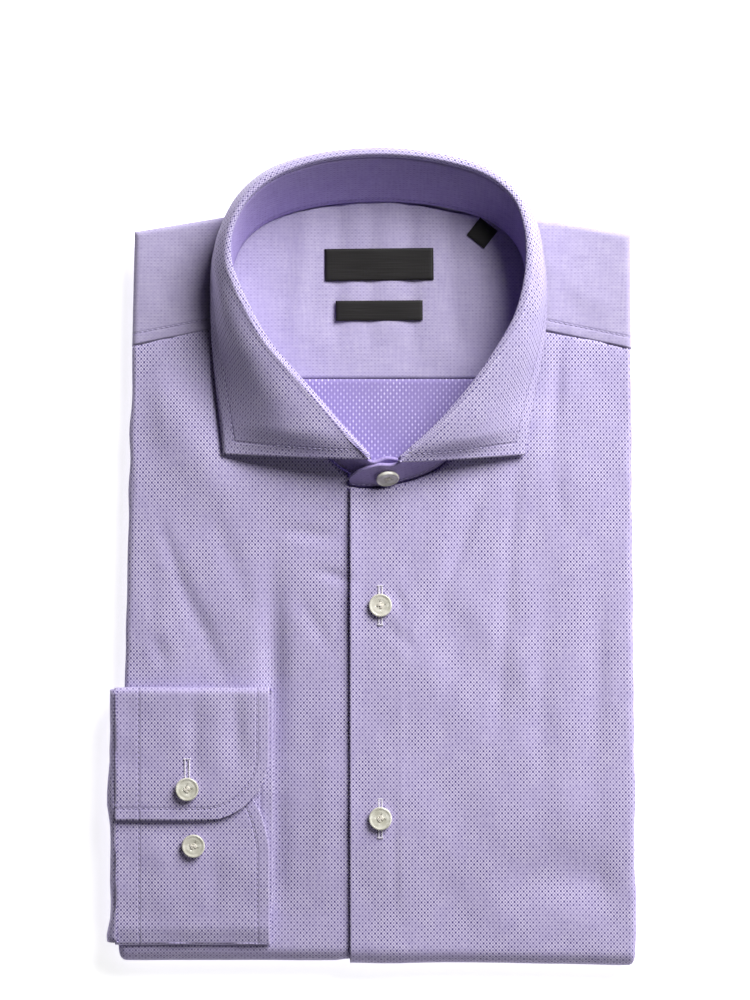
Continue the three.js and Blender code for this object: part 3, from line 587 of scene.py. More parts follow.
def front_surface(side):
    """u: free edge 0, side fold 1 to 2, turned in 3. v: seam 0, bottom fold 1 to 2, end 3."""
    sign = 1 if side == "left" else -1
    edge = right_edge if side == "left" else left_edge
    free_x = PLACKET_X if side == "left" else UNDER_X
    bend_from, bend_slope = (BEND_LEFT_Y, 0.017) if side == "left" else (BEND_RIGHT_Y - 2, 0)
    seed = 4 if side == "left" else 9

    def surface(u, v):
        turned = math.pi * np.clip(v - 1, 0, 1)
        facing = (1 + np.cos(turned)) / 2
        bend_y = bend_from - bend_slope * np.clip(u, 0, 1) * (edge(bend_from) - PLACKET_X)
        rough = np.where(v < 1, SEAM_Y + (bend_y - SEAM_Y) * v, bend_y)
        rough = np.where(v > 2, bend_y + (TAIL_END_Y - bend_y) * (v - 2), rough)
        edge_x = edge(rough) - sign * TAIL_INSET * (1 - facing)
        turn = math.pi * np.clip(u - 1, 0, 1)
        inward = np.maximum(0, u - 2) * TURN_IN
        flat_x = free_x + (edge_x - sign * ROLL_R - free_x) * u
        rolled_x = edge_x - sign * ROLL_R * (1 - np.sin(turn)) - sign * inward
        x = np.where(u <= 1, flat_x, rolled_x)
        seam = shoulder_seam(x) + 0.5
        y = np.where(v < 1, seam + (bend_y - seam) * v, rough)
        height = MID - ROLL_R + ROLL_R * np.cos(turn)
        fine = pressed(FOLDS, x, y) + pressed(CREASES, x, y)
        fine = fine + 0.16 * ripple(x, y, seed, 22, 60) + 0.025 * ripple(x, y, seed + 1, 7, 15)
        dip = 0.45 * np.exp(-np.maximum(0, shoulder_seam(x) - y) / 3)
        rise = crown(x, y) + fine + puckers(x, y) - dip
        if side == "left":
            lap = LAYER * (1 - smooth(x, UNDER_X - 4, UNDER_X + LAP_SLOPE))
            facing_edge = 0.12 * (1 - smooth(x, 12, 13.2))
            lift = bell(x - PLACKET_X, 5) * (0.25 + 0.8 * bell(y + 45, 38))
            rise = rise + lap + facing_edge + lift
            below = 0.0
        else:
            below = -LAYER * (1 - facing) * smooth(x, PLACKET_X - OVERLAP_SLOPE, PLACKET_X - 1)
        height = height + np.where(u <= 1, rise * facing + below, 0)
        roll = np.where(u > 1, 0.25 * ripple(y, u * 3, seed + 2, 18, 50) * np.sin(turn), 0)
        x = x + sign * roll
        return stacked(x, y - height * np.sin(turned), MID + height * np.cos(turned))

    return surface


def yoke_surface(u, v):
    """u: left to right. v: the seam on the front 0, the shoulder edge 1, underneath 2."""
    low_y = shoulder_seam(SEAM_X) - 12
    left, right = left_edge(EDGE_TOP_Y), right_edge(EDGE_TOP_Y)
    x = left + (right - left) * u
    seam = np.maximum(shoulder_seam(x), low_y)
    top = top_edge(x)
    back = np.abs(v - 1)
    # rows bunch up at the edge, where the roll needs them
    in_roll = ROLL_R * (1 - np.cos(back / 0.2 * math.pi / 2))
    beyond_roll = ROLL_R + (top - seam - ROLL_R) * (back - 0.2) / 0.8
    gap_y = np.where(back < 0.2, in_roll, beyond_roll)
    y = top - gap_y
    spread = np.clip(EDGE_TOP_Y - y, 0, None)
    near_left = 1 - smooth(x, left, left + 30)
    near_right = smooth(x, right - 30, right)
    edge_gap = np.minimum(np.minimum(x - left, right - x), gap_y)
    depth = np.clip(1 - edge_gap / ROLL_R, 0, 1)
    half = ROLL_R * np.sqrt(np.maximum(0, 1 - depth**2))
    x = x - near_left * spread * LEFT_SPREAD + near_right * spread * RIGHT_SPREAD
    fine = pressed(FOLDS, x, y) + pressed(CREASES, x, y) + 0.14 * ripple(x, y, 21, 18, 50)
    fine = fine + 0.05 * ripple(x, y, 22, 7, 14)
    fine = fine + puckers(x, y) - 0.38 * bell(y - seam, 1.3)
    rise = np.where(v < 1, fine * smooth(edge_gap, 1, ROLL_R + 6), 0)
    sign = np.where(v <= 1, 1, -1)
    return stacked(x, y, STACK - ROLL_R + sign * half + rise)


def plate_surface(left, right, low, high, fine):
    """A flat ply under the fronts: low and high give its ends at x, fine its small folds."""

    def surface(u, v):
        x = left + (right - left) * u
        y = low(x) + (high(x) - low(x)) * v
        return stacked(x, y, lining_height(x, y) + fine(x, y))

    return surface


def lining_creases(x, y):
    """Faint folds that hang from the neck seam beside the labels."""
    height = 0.0
    for middle, lean, width, rise in LINING_CREASES:
        height = height + rise * bell(x - middle - lean * (y - LABELS_Y), width) * smooth(y, 58, 82)
    return height + 0.12 * ripple(x, y, 31, 16, 40)


def leaf_surface(u, v):
    """u: from the seam on the stand over the fold to the free edge. v: round the collar."""
    v = np.clip(v, 0, 1)
    fold, up, out = collar_frame(v)
    edge = edge_at(v)
    away = smooth(np.minimum(v, 1 - v), 0, FRONT_BLEND)
    at_back, side = smooth(fold[:, 1], 128, 150), 1 - smooth(fold[:, 1], 85, 125)
    roll = (FRONT_ROLL + (COLLAR_ROLL - FRONT_ROLL) * away + BACK_ROLL * at_back)[:, None]
    full = BACK_BULGE + (LEAF_BULGE - BACK_BULGE) * side
    bulge = (FRONT_BULGE + (full - FRONT_BULGE) * away)[:, None]
    sewn = fold - up * SEAM_BELOW_FOLD
    over = fold + out * 2 * roll - up * roll * (1 - 0.6 * side)[:, None]
    crest = fold + out * roll + up * 0.4
    halfway = over + (edge - over) * 0.4 + (out + np.array((0, 0, 1))) * bulge
    points = through([sewn, fold, crest, over, halfway, edge], u)
    free = smooth(u, 0.55, 0.8)
    points[:, 2] += 0.22 * ripple(points[:, 0], points[:, 1], 41, 14, 34) * free
    return points


def stand_rows():
    """The stand's foot and top, from its overlapping end round the ring to the other."""
    feet, tops = [], []
    for base_x, base_y, top_x, top_y, top_z in STAND_OUTER:
        feet.append(stand_foot(base_x, base_y))
        tops.append(np.array((top_x, top_y, top_z), float))
    t = steps(0, 1, 24)
    fold, up, _ = collar_frame(t)
    feet.extend(base_at(t))
    tops.extend(fold - up * (SEAM_BELOW_FOLD + 0.6))
    for base_x, base_y, top_x, top_y, top_z in STAND_INNER:
        feet.append(stand_foot(base_x, base_y))
        tops.append(np.array((top_x, top_y, top_z), float))
    return np.array(feet), np.array(tops)


STAND_FEET, STAND_TOPS = stand_rows()


def stand_surface(u, v):
    """The stand's outer face. u: foot to top. v: from the overlapping end round to the other."""
    feet, tops = along(STAND_FEET, v), along(STAND_TOPS, v)
    reach = 2e-3
    ahead = along(STAND_FEET, np.clip(v + reach, 0, 1)) - along(STAND_FEET, np.clip(v - reach, 0, 1))
    out = unit(np.cross(ahead, tops - feet))
    return feet + (tops - feet) * u[:, None] + out * INTERLINED


def cuff_path():
    """The cuff's section, as (y, level) pairs from the under end round to the upper end."""
    half = INTERLINED / 2
    path = []

    def line(start, end, level, count):
        path.extend((y, level + half) for y in steps(start, end, count))

    def turn(y, start, end, sign):
        radius = (end - start) / 2
        for angle in steps(-math.pi / 2, math.pi / 2, 12)[1:-1]:
            middle = (start + end) / 2 + half
            path.append((y + sign * abs(radius) * math.cos(angle), middle + radius * math.sin(angle)))

    bottom_r = (CUFF_UNDER - CUFF_LOWER) / 2 + half
    top_r = (CUFF_UPPER - CUFF_LOWER) / 2 + half
    line(CUFF_UNDER_END, CUFF_BOTTOM + bottom_r, CUFF_UNDER, 60)
    turn(CUFF_BOTTOM + bottom_r, CUFF_UNDER, CUFF_LOWER, -1)
    line(CUFF_BOTTOM + bottom_r, CUFF_TOP - top_r, CUFF_LOWER, 40)
    turn(CUFF_TOP - top_r, CUFF_LOWER, CUFF_UPPER, 1)
    line(CUFF_TOP - top_r, CUFF_UPPER_END, CUFF_UPPER, 50)
    return np.array(path)


CUFF_PATH = cuff_path()
CUFF_RUN = np.concatenate([[0], np.cumsum(np.linalg.norm(np.diff(CUFF_PATH, axis=0), axis=1))])
CUFF_WHOLE = CUFF_RUN[-1]


def corner_inset(end):
    """How far the wrist edge comes in at this distance from the cuff's end."""
    return CUFF_CORNER - np.sqrt(np.maximum(0, CUFF_CORNER**2 - np.maximum(0, CUFF_CORNER - end) ** 2))


def cuff_surface(u, v):
    """The cuff's outer face. u: sleeve seam 0 to wrist edge 1. v: under end 0 to upper end 1."""
    run = np.clip(v, 0, 1) * CUFF_WHOLE
    y = np.interp(run, CUFF_RUN, CUFF_PATH[:, 0])
    level = np.interp(run, CUFF_RUN, CUFF_PATH[:, 1])
    before, after = np.maximum(0, run - 0.3), np.minimum(CUFF_WHOLE, run + 0.3)
    ends = [[np.interp(at, CUFF_RUN, CUFF_PATH[:, k]) for k in (0, 1)] for at in (before, after)]
    ahead = unit(np.stack([ends[1][k] - ends[0][k] for k in (0, 1)], axis=1))
    end = np.minimum(run, CUFF_WHOLE - run)
    inset = corner_inset(end) + UNDER_LEAN * np.maximum(0, 1 - run / UNDER_LEAN_REACH) ** 1.5
    half = INTERLINED / 2
    lowest = 1 - smooth(level, CUFF_LOWER + half, CUFF_LOWER + half + 1.5)
    peek = 1.7 * lowest * smooth(y, CUFF_BOTTOM, CUFF_BOTTOM + 30)
    level = level - 1.7 * (1 - lowest) * (1 - smooth(y, CUFF_BOTTOM, CUFF_BOTTOM + 9))
    x = CUFF_LEFT + (CUFF_RIGHT - inset + peek - CUFF_LEFT) * u
    ground = top_height(np.maximum(x, left_edge(y) + ROLL_R), np.maximum(y, CUFF_BOTTOM + 12))
    wave = 0.16 * ripple(x, run, 51, 16, 44) + pressed(CUFF_CREASES, x, y) * (ahead[:, 0] < 0)
    half = half + wave
    # the outer face of the ring is below the path on the plies that face up
    return stacked(x, y + ahead[:, 1] * half, ground + level - ahead[:, 0] * half)


def sleeve_surface(u, v):
    """The sleeve, pressed flat round the edge. u: cuff to inside. v: bottom to top, round to the
    bottom again underneath."""
    low, high = CUFF_BOTTOM + 1.2, CUFF_TOP - 1.2
    angle = math.tau * v
    flat = np.clip(np.cos(angle) * 1.35, -1, 1)
    y = (low + high) / 2 - flat * (high - low) / 2
    bulge = bell(y + 134, 11) + bell(y + 196, 6) + 0.15 * bell(y + 92, 8)
    inward = 1.5 * (1 - np.minimum(1, bulge)) + 0.2 * ripple(y, y * 0, 62, 9, 30)
    cuff_top = CUFF_UNDER + (CUFF_UPPER - CUFF_UNDER) * smooth(y, CUFF_UPPER_END - 2, CUFF_UPPER_END + 4)
    start = STACK + 0.4 + cuff_top
    knots = np.array(SLEEVE_KNOTS)
    t = np.clip(u, 0, 1)

    def path(at):
        x, share, z = along(knots, at).T
        x = x + inward * smooth(at, 0.05, 0.3) * (1 - smooth(at, 0.6, 0.85))
        return x, start * share + z

    reach = 4e-3
    x, z = path(t)
    (x0, z0), (x1, z1) = path(np.maximum(0, t - reach)), path(np.minimum(1, t + reach))
    ahead = unit(np.stack([x1 - x0, z1 - z0], axis=1))
    lift = SLEEVE_HALF * np.sign(np.sin(angle)) * np.minimum(1, np.abs(np.sin(angle)) * 3)
    lift = lift + 0.15 * ripple(t * 24, y, 61, 9, 24) * np.sign(lift)
    return stacked(x + ahead[:, 1] * lift, y, z - ahead[:, 0] * lift)


# The plies inside the stack: low and high z, distance in from the edges, y of the upper end
PLIES = (
    (1.6, 3.7, 3.4, 97.0),
    (3.8, 5.35, 14.6, 94.0),
    (5.4, 6.95, 2.4, 113.0),
    (7.05, 8.6, 0.9, 116.0),
    (8.7, 10.0, 14.6, 66.0),
)
PLY_ROWS = 6
PLY_CORNER = 5.0


def plies_surface(u, v):
    """u: once round the stack. v: row by row up its plies, each with a rounded fold."""
    row = np.clip(v, 0, 1) * (len(PLIES) * PLY_ROWS - 1)
    ply = np.minimum((row + 1e-6).astype(int) // PLY_ROWS, len(PLIES) - 1)
    low, high, inset, end_y = (np.array(PLIES)[ply, k] for k in range(4))
    angle = math.pi * ((row - ply * PLY_ROWS) / (PLY_ROWS - 1) - 0.5)
    radius = (high - low) / 2
    inward = inset + radius * (1 - np.cos(angle))
    into_bend = 8 * (1 - np.abs((low + high) / 2 - MID) / 5)
    bottom, top = BEND_RIGHT_Y + 4 - into_bend + inward * 0.2, end_y - inward * 0.3
    # a squared-off ring: four sides with small corners
    side = (u * 4) % 4
    share = side - np.floor(side)
    stretches = [side < 1, side < 2, side < 3]
    long = (top - bottom) * share
    y = np.select(stretches, [bottom + long, top, top - long], bottom)
    left, right = left_edge(y) + inward, right_edge(y) - inward
    wide = (right - left) * share
    x = np.select(stretches, [right, right - wide, left], left + wide)
    corner = np.minimum(np.minimum(x - left, right - x), PLY_CORNER) / PLY_CORNER
    y = y - np.where((side >= 1) & (side < 2), 1, 0) * PLY_CORNER * 0.5 * (1 - corner) ** 2
    within = smooth(y, CUFF_BOTTOM - 6, CUFF_BOTTOM) * (1 - smooth(y, CUFF_TOP, CUFF_TOP + 6))
    x = x + np.where((side >= 2) & (side < 3), 21 * within, 0)
    wander = 0.35 * ripple(y + 40 * ply, x * 0.2, 71, 30, 90, 5)
    x = x + np.where(side < 1, -np.abs(wander), 0)
    x = x + np.where((side >= 2) & (side < 3), np.abs(wander), 0)
    return stacked(x, y, (low + high) / 2 + radius * np.sin(angle))


# Finishes


class Value:
    """A number that a material works out; sums on it become Math nodes."""

    def __init__(self, finish, socket):
        self.finish, self.socket = finish, socket

    def sum(self, operation, *others):
        inputs = {i: value for i, value in enumerate((self, *others))}
        node = self.finish.node("ShaderNodeMath", {"operation": operation}, inputs)
        return Value(self.finish, node.outputs[0])

    def __add__(self, other):
        return self.sum("ADD", other)

    __radd__ = __add__

    def __mul__(self, other):
        return self.sum("MULTIPLY", other)

    __rmul__ = __mul__

    def __sub__(self, other):
        return self.sum("SUBTRACT", other)

    def __rsub__(self, other):
        return (self * -1) + other

    def cosine(self):
        return self.sum("COSINE")

    def size(self):
        return self.sum("ABSOLUTE")

    def least(self, other):
        return self.sum("MINIMUM", other)

    def between(self, low, high, step="SMOOTHSTEP"):
        """0 below low, 1 above high, and a soft or a straight step between them."""
        settings = {"interpolation_type": step, "clamp": True}
        inputs = {"Value": self, "From Min": low, "From Max": high}
        return Value(self.finish, self.finish.node("ShaderNodeMapRange", settings, inputs).outputs[0])


class Finish:
    """A material being built from nodes."""

    def __init__(self, name):
        self.material = bpy.data.materials.new(name)
        self.material.use_nodes = True
        self.tree = self.material.node_tree
        self.tree.nodes.clear()
        self.shader = self.node("ShaderNodeBsdfPrincipled")
        output = self.node("ShaderNodeOutputMaterial", {}, {"Surface": self.shader.outputs[0]})
        output.target = "ALL"

    def node(self, kind, settings=None, inputs=None):
        made = self.tree.nodes.new(kind)
        for name, value in (settings or {}).items():
            setattr(made, name, value)
        for key, value in (inputs or {}).items():
            self.feed(made.inputs[key], value)
        return made

    def feed(self, socket, value):
        if isinstance(value, Value):
            value = value.socket
        if isinstance(value, bpy.types.NodeSocket):
            self.tree.links.new(value, socket)
        elif hasattr(value, "__len__"):
            socket.default_value = [*value, 1.0][: len(socket.default_value)]
        else:
            socket.default_value = value

    def set(self, **values):
        for name, value in values.items():
            self.feed(self.shader.inputs[name.replace("_", " ")], value)

    def blend(self, share, first, second):
        settings = {"data_type": "RGBA", "clamp_factor": True}
        mix = self.node("ShaderNodeMix", settings, {0: share, 6: first, 7: second})
        return mix.outputs[2]

    def noise(self, scale, detail=2.0, stretch=(1, 1, 1), coordinates=None):
        place = coordinates or self.node("ShaderNodeTexCoord").outputs["Object"]
        turned = self.node("ShaderNodeMapping", {}, {"Vector": place, "Scale": stretch})
        inputs = {"Vector": turned.outputs[0], "Scale": scale, "Detail": detail}
        return Value(self, self.node("ShaderNodeTexNoise", {}, inputs).outputs[0])

    def bump(self, height, distance, strength=1.0):
        inputs = {"Height": height, "Distance": distance, "Strength": strength}
        self.set(Normal=self.node("ShaderNodeBump", {}, inputs).outputs[0])


def srgb(red, green, blue):
    """A colour given in the usual 0 to 255 steps, as the shader's own numbers."""
    steps_of = [value / 255 for value in (red, green, blue)]
    return tuple(s / 12.92 if s <= 0.04045 else ((s + 0.055) / 1.055) ** 2.4 for s in steps_of)


# How the weave varies: sizes of the uneven patches, and what each adds to the tone
PATCH_SCALE, CLOUD_SCALE, SLUB_SCALE, SLUB_STRETCH = 70, 24, 0.9, 0.12
PATCH_LOW, PATCH_RANGE = 0.62, 0.5
SLUB_TONE, CLOUD_TONE = 0.2, 0.06
# Painted shade: how much the colour is darkened in the dent along a line of stitches and between two
# stitches, and the depth of the dent in the bump
DENT_SHADE, GAP_SHADE, DENT_DEPTH = 0.1, 0.25, 4
WEAVE_RELIEF = 0.06


def weave_finish(name, settings, colours, counts, stitch_pitch):
    """Dotted cotton, from three colours, dark to pale, and the shares of four waves that make the
    dots: the staggered dots, the columns, the rows, and the lattice of columns and rows."""
    finish = Finish(name)
    threads = finish.node("ShaderNodeUVMap", {"uv_map": "Weave"}).outputs[0]
    parts = finish.node("ShaderNodeSeparateXYZ", {}, {0: threads})
    along_x, along_y = Value(finish, parts.outputs[0]), Value(finish, parts.outputs[1])
    x = along_x * (math.tau / settings.dot_width)
    y = along_y * (math.tau / settings.dot_height)
    columns, rows = (x * 2).cosine(), (y * 2).cosine()
    dots, column_share, row_share, lattice, middle = counts
    weave = x.cosine() * y.cosine() * dots + columns * column_share + rows * row_share
    patch = finish.noise(PATCH_SCALE, 2).between(0.35, 0.65) * PATCH_RANGE + PATCH_LOW
    weave = (weave + columns * rows * lattice) * patch + middle
    warp_slub = finish.noise(SLUB_SCALE, 3, (1, SLUB_STRETCH, 1), threads)
    slub = warp_slub + finish.noise(SLUB_SCALE, 3, (SLUB_STRETCH, 1, 1), threads)
    cloud = finish.noise(CLOUD_SCALE, 3)
    tone = weave + (slub - 1) * SLUB_TONE + (cloud - 0.5) * CLOUD_TONE
    dark, ground, pale = colours
    colour = finish.blend(tone.between(0, 0.5, "LINEAR"), dark, ground)
    colour = finish.blend(tone.between(0.5, 1, "LINEAR"), colour, pale)
    sewn = finish.node("ShaderNodeUVMap", {"uv_map": "Seams"}).outputs[0]
    lines = finish.node("ShaderNodeSeparateXYZ", {}, {0: sewn})
    near = Value(finish, lines.outputs[0]).size().least(Value(finish, lines.outputs[1]).size())
    dent = 1 - near.between(0.15, 1.1)
    between_stitches = ((along_x + along_y) * (math.tau / stitch_pitch)).cosine().between(0.2, 0.9)
    painted_gap_shade = (1 - near.between(0.1, 0.5)) * between_stitches
    # painted shade: the colour is darkened in the dent along each line of stitches and in the gaps
    # between its stitches
    colour = finish.blend(dent * DENT_SHADE + painted_gap_shade * GAP_SHADE, colour, dark)
    finish.set(Base_Color=colour, Roughness=0.82, Specular_IOR_Level=0.25)
    finish.set(Sheen_Weight=0.08, Sheen_Roughness=0.5)
    finish.bump(weave + slub * 0.15 - dent * DENT_DEPTH, WEAVE_RELIEF * MM, 0.8)
    return finish.material


def thread_finish(name, colour):
    """Twisted thread."""
    finish = Finish(name)
    twist = finish.noise(2600, 2)
    shade = finish.blend(twist * 0.35, colour, [c * 0.6 for c in colour])
    finish.set(Base_Color=shade, Roughness=0.6, Sheen_Weight=0.2)
    finish.bump(twist, 0.05 * MM)
    return finish.material


def pearl_finish(name, colour):
    """Mother of pearl: pale and deep swirls under a clear coat."""
    finish = Finish(name)
    swirl = finish.noise(260, 4, (1, 1.6, 1))
    drift = finish.noise(90, 2)
    pale = [min(1, c * 1.25) for c in colour]
    deep = [c * f for c, f in zip(colour, (0.78, 0.8, 0.74))]
    tone = finish.blend(swirl.between(0.35, 0.7), deep, pale)
    tone = finish.blend(drift.between(0.35, 0.65) * 0.5, tone, colour)
    finish.set(Base_Color=tone, Roughness=0.22)
    finish.set(Coat_Weight=0.6, Coat_Roughness=0.12, Specular_IOR_Level=0.55)
    finish.bump(swirl, 0.03 * MM, 0.5)
    return finish.material


def satin_finish(name, colour):
    """Woven satin, with fine ribs across."""
    finish = Finish(name)
    weft = finish.noise(1, 1, (60, 2600, 60))
    warp = finish.noise(1, 1, (1500, 90, 90))
    pale = [c + 0.02 for c in colour]
    finish.set(Base_Color=finish.blend(weft, colour, pale), Roughness=0.5, Specular_IOR_Level=0.3)
    finish.bump(weft + warp * 0.6, 0.05 * MM)
    return finish.material


def plain_finish(name, colour, roughness):
    """An even surface with a very faint grain."""
    finish = Finish(name)
    grain = finish.noise(35, 4)
    shade = finish.blend(grain * 0.04, colour, [c * 0.9 for c in colour])
    finish.set(Base_Color=shade, Roughness=roughness)
    return finish.material


# Shares of the weave's waves: dots, columns, rows, lattice, and the middle tone
FACE_WEAVE = (-0.19, -0.11, -0.08, -0.42, 0.51)
LINING_WEAVE = (-0.03, -0.035, -0.012, -0.06, 0.52)
REVERSE_WEAVE = (0.22, 0.24, 0.1, 0.03, 0.41)
# Painted light and shade: the yoke's copy of the face is made a little less blue, the paler, greyer tone
# of the face where strong light falls on it, and the stand's copy a little deeper, as the face looks in
# shade
YOKE_LIGHT_TINT, STAND_SHADE_TINT = (0.96, 0.98, 0.905), (0.82, 0.76, 0.92)


def finish_named(name):
    """The shirt's finishes, each made once from the settings."""
    made = bpy.data.materials.get(name)
    if made:
        return made
    fabric, trim = bpy.context.scene.shirt_cloth, bpy.context.scene.shirt_trim
    face = fabric.dot, fabric.ground, fabric.pale
    reverse = fabric.reverse_rib, fabric.reverse_ground, fabric.reverse_float
    weaves = {
        "cotton_face": (face, FACE_WEAVE),
        # painted light on the yoke's copy of the face, painted shade on the stand's copy
        "cotton_yoke_lit": (tinted(face, YOKE_LIGHT_TINT), LINING_WEAVE),
        "cotton_stand_shaded": (tinted(face, STAND_SHADE_TINT), LINING_WEAVE),
        "cotton_reverse": (reverse, REVERSE_WEAVE),
    }
    threads = {
        "sewing_thread": trim.thread_colour,
        "button_thread": trim.button_thread_colour,
        "buttonhole_thread": trim.buttonhole_colour,
    }
    if name in weaves:
        colours, weave = weaves[name]
        return weave_finish(name, fabric, colours, weave, trim.stitch_pitch)
    if name in threads:
        return thread_finish(name, threads[name])
    if name == "pearl":
        return pearl_finish(name, trim.button_colour)
    return satin_finish(name, trim.label_colour)


def tinted(colours, tint):
    return [[c * share for c, share in zip(colour, tint)] for colour in colours]



# Sewing


def inset_run(surface, across, from_end, distance, count, spans=(0.0, 1.0)):
    """Where a line of stitches lies on a surface: distance in from one end of u or v, read at
    count places along the other."""
    t = steps(spans[0], spans[1], count)
    probe = steps(0, 1, 400)
    probe = probe[::-1] if from_end else probe
    found = []
    for place_along in t:
        fixed = np.full(len(probe), place_along)
        points = surface(probe, fixed) if across == "u" else surface(fixed, probe)
        run = np.concatenate([[0], np.cumsum(np.linalg.norm(np.diff(points, axis=0), axis=1))])
        found.append(np.interp(distance, run, probe))
    found = np.array(found)
    return (found, t) if across == "u" else (t, found)


def add_bead(bm, seat, ahead, side, normal, halves):
    """One short bead of thread: seat in millimetres, and its half sizes along the three directions."""
    axes = Matrix([(way * half * MM).tolist() for way, half in zip((ahead, side, normal), halves)])
    matrix = Matrix.Translation(Vector(metres(seat).tolist())) @ axes.transposed().to_4x4()
    bmesh.ops.create_icosphere(bm, subdivisions=1, radius=1, matrix=matrix)


def add_stitches(bm, points, normals, pitch, length, width, height):
    """Short thread beads along a line, with a small uneven lean."""
    run = np.concatenate([[0], np.cumsum(np.linalg.norm(np.diff(points, axis=0), axis=1))])
    draw = np.random.default_rng(len(points))

    def read(values, at):
        return np.array([np.interp(at, run, values[:, k]) for k in range(3)])

    for start in np.arange(pitch * 0.3, run[-1] - length, pitch):
        first, last = read(points, start), read(points, start + length)
        normal = read(normals, start)
        ahead = unit(last - first)
        side = unit(np.cross(normal, ahead)) + draw.normal(0, 0.03) * ahead
        seat = (first + last) / 2 + normal * height * 0.35
        add_bead(bm, seat, ahead, side, unit(normal), (length / 2, width / 2, height / 2))


def sew(name, runs, material, pitch=2.5, length=1.9, width=0.42, height=0.3):
    bm = bmesh.new()
    for points, normals in runs:
        add_stitches(bm, points, normals, pitch, length, width, height)
    return place(made_object(name, bm, [finish_named(material)]), (), "cloth")


# Buttons


HOLE_OUT, HOLE_R = 0.95, 0.42
# Half a button's section, from its seat out over the rim to the dished middle: radius as a share, z
BUTTON_SECTION = (
    (0, 0), (0.7, 0), (0.93, 0.5), (1, 1.2), (0.995, 1.75), (0.96, 2.1), (0.9, 2.22),
    (0.84, 2.14), (0.78, 1.96), (0.66, 1.9), (0.6, 1.94), (0.54, 1.88), (0.3, 1.76), (0, 1.74),
)


def button_form(diameter):
    """A four-hole button, its seat at z = 0, in millimetres."""
    r = diameter / 2
    bm = bmesh.new()
    verts = [bm.verts.new((share * r, 0, z)) for share, z in BUTTON_SECTION]
    edges = [bm.edges.new(pair) for pair in zip(verts, verts[1:])]
    bmesh.ops.spin(
        bm, geom=verts + edges, cent=(0, 0, 0), axis=(0, 0, 1), angle=math.tau, steps=48, use_merge=True
    )
    bmesh.ops.remove_doubles(bm, verts=bm.verts, dist=1e-4)
    bmesh.ops.recalc_face_normals(bm, faces=bm.faces)
    whole = made_object("button_blank", bm, [])
    drills = bmesh.new()
    for x in (-1, 1):
        for y in (-1, 1):
            spot = Matrix.Translation((x * HOLE_OUT, y * HOLE_OUT, 1))
            bmesh.ops.create_cone(
                drills, cap_ends=True, segments=16, radius1=HOLE_R, radius2=HOLE_R, depth=6, matrix=spot
            )
    drill = made_object("button_drill", drills, [])
    cut = whole.modifiers.new("Holes", "BOOLEAN")
    cut.operation, cut.object, cut.solver = "DIFFERENCE", drill, "EXACT"
    depsgraph = bpy.context.evaluated_depsgraph_get()
    mesh = bpy.data.meshes.new_from_object(whole.evaluated_get(depsgraph))
    for spare in (whole, drill):
        bpy.data.objects.remove(spare)
    return mesh


def seat_matrix(point, normal, turn=0.0):
    """Turns a form whose axis is Z to stand on a point, in millimetres."""
    lean = Vector((0, 0, 1)).rotation_difference(Vector(normal.tolist()))
    where = Vector((point + SHIFT).tolist())
    turned = lean.to_matrix().to_4x4() @ Matrix.Rotation(turn, 4, "Z")
    return Matrix.Scale(MM, 4) @ Matrix.Translation(where) @ turned


def add_button_thread(name, matrix):
    """The thread through the four holes: strands over each pair, and some across them."""
    bm = bmesh.new()
    strands = []
    for x in (-HOLE_OUT, HOLE_OUT):
        for drift in (-0.3, -0.08, 0.14, 0.34):
            strands.append(((x * 0.8 + drift, 0.06 * drift, 1.86), (0.2, 1.42, 0.34)))
    for drift in (-0.26, 0.0, 0.24):
        strands.append(((0, drift, 1.95), (1.25, 0.24, 0.34)))
    for middle, halves in strands:
        bead = matrix @ Matrix.Translation(middle) @ Matrix.Diagonal((*halves, 1))
        bmesh.ops.create_icosphere(bm, subdivisions=2, radius=1, matrix=bead)
    return place(made_object(name, bm, [finish_named("button_thread")]), (), "cloth")


def buttonhole_runs(middle, direction, normal, long, wide):
    """The two long sides and the two bars of a buttonhole, as stitch runs across its edge."""
    direction, normal = unit(np.array(direction, float)), unit(np.array(normal, float))
    side = np.cross(normal, direction)
    beads = []
    for step in steps(-long / 2, long / 2, int(long / 0.42)):
        for sign in (-1, 1):
            beads.append((middle + direction * step + side * sign * wide / 2, side, 1.0))
    for sign in (-1, 1):
        for drift in steps(-wide * 0.75, wide * 0.75, 4):
            beads.append((middle + direction * sign * (long / 2 + 0.5) + side * drift, direction, 1.2))
    return beads, normal


def add_buttonhole(name, middle, direction, normal, long, wide=1.45):
    beads, normal = buttonhole_runs(middle, direction, normal, long, wide)
    bm = bmesh.new()
    draw = np.random.default_rng(int(abs(middle[1]) * 10))
    for point, ahead, length in beads:
        side = np.cross(normal, ahead)
        lean = draw.normal(0, 0.06)
        spread = ahead + side * lean
        rise = 0.24 * draw.uniform(0.85, 1.15)
        add_bead(bm, point + normal * 0.08, spread, side, normal, (length / 2, 0.34, rise))
    return place(made_object(name, bm, [finish_named("buttonhole_thread")]), (), "cloth")


# Settings


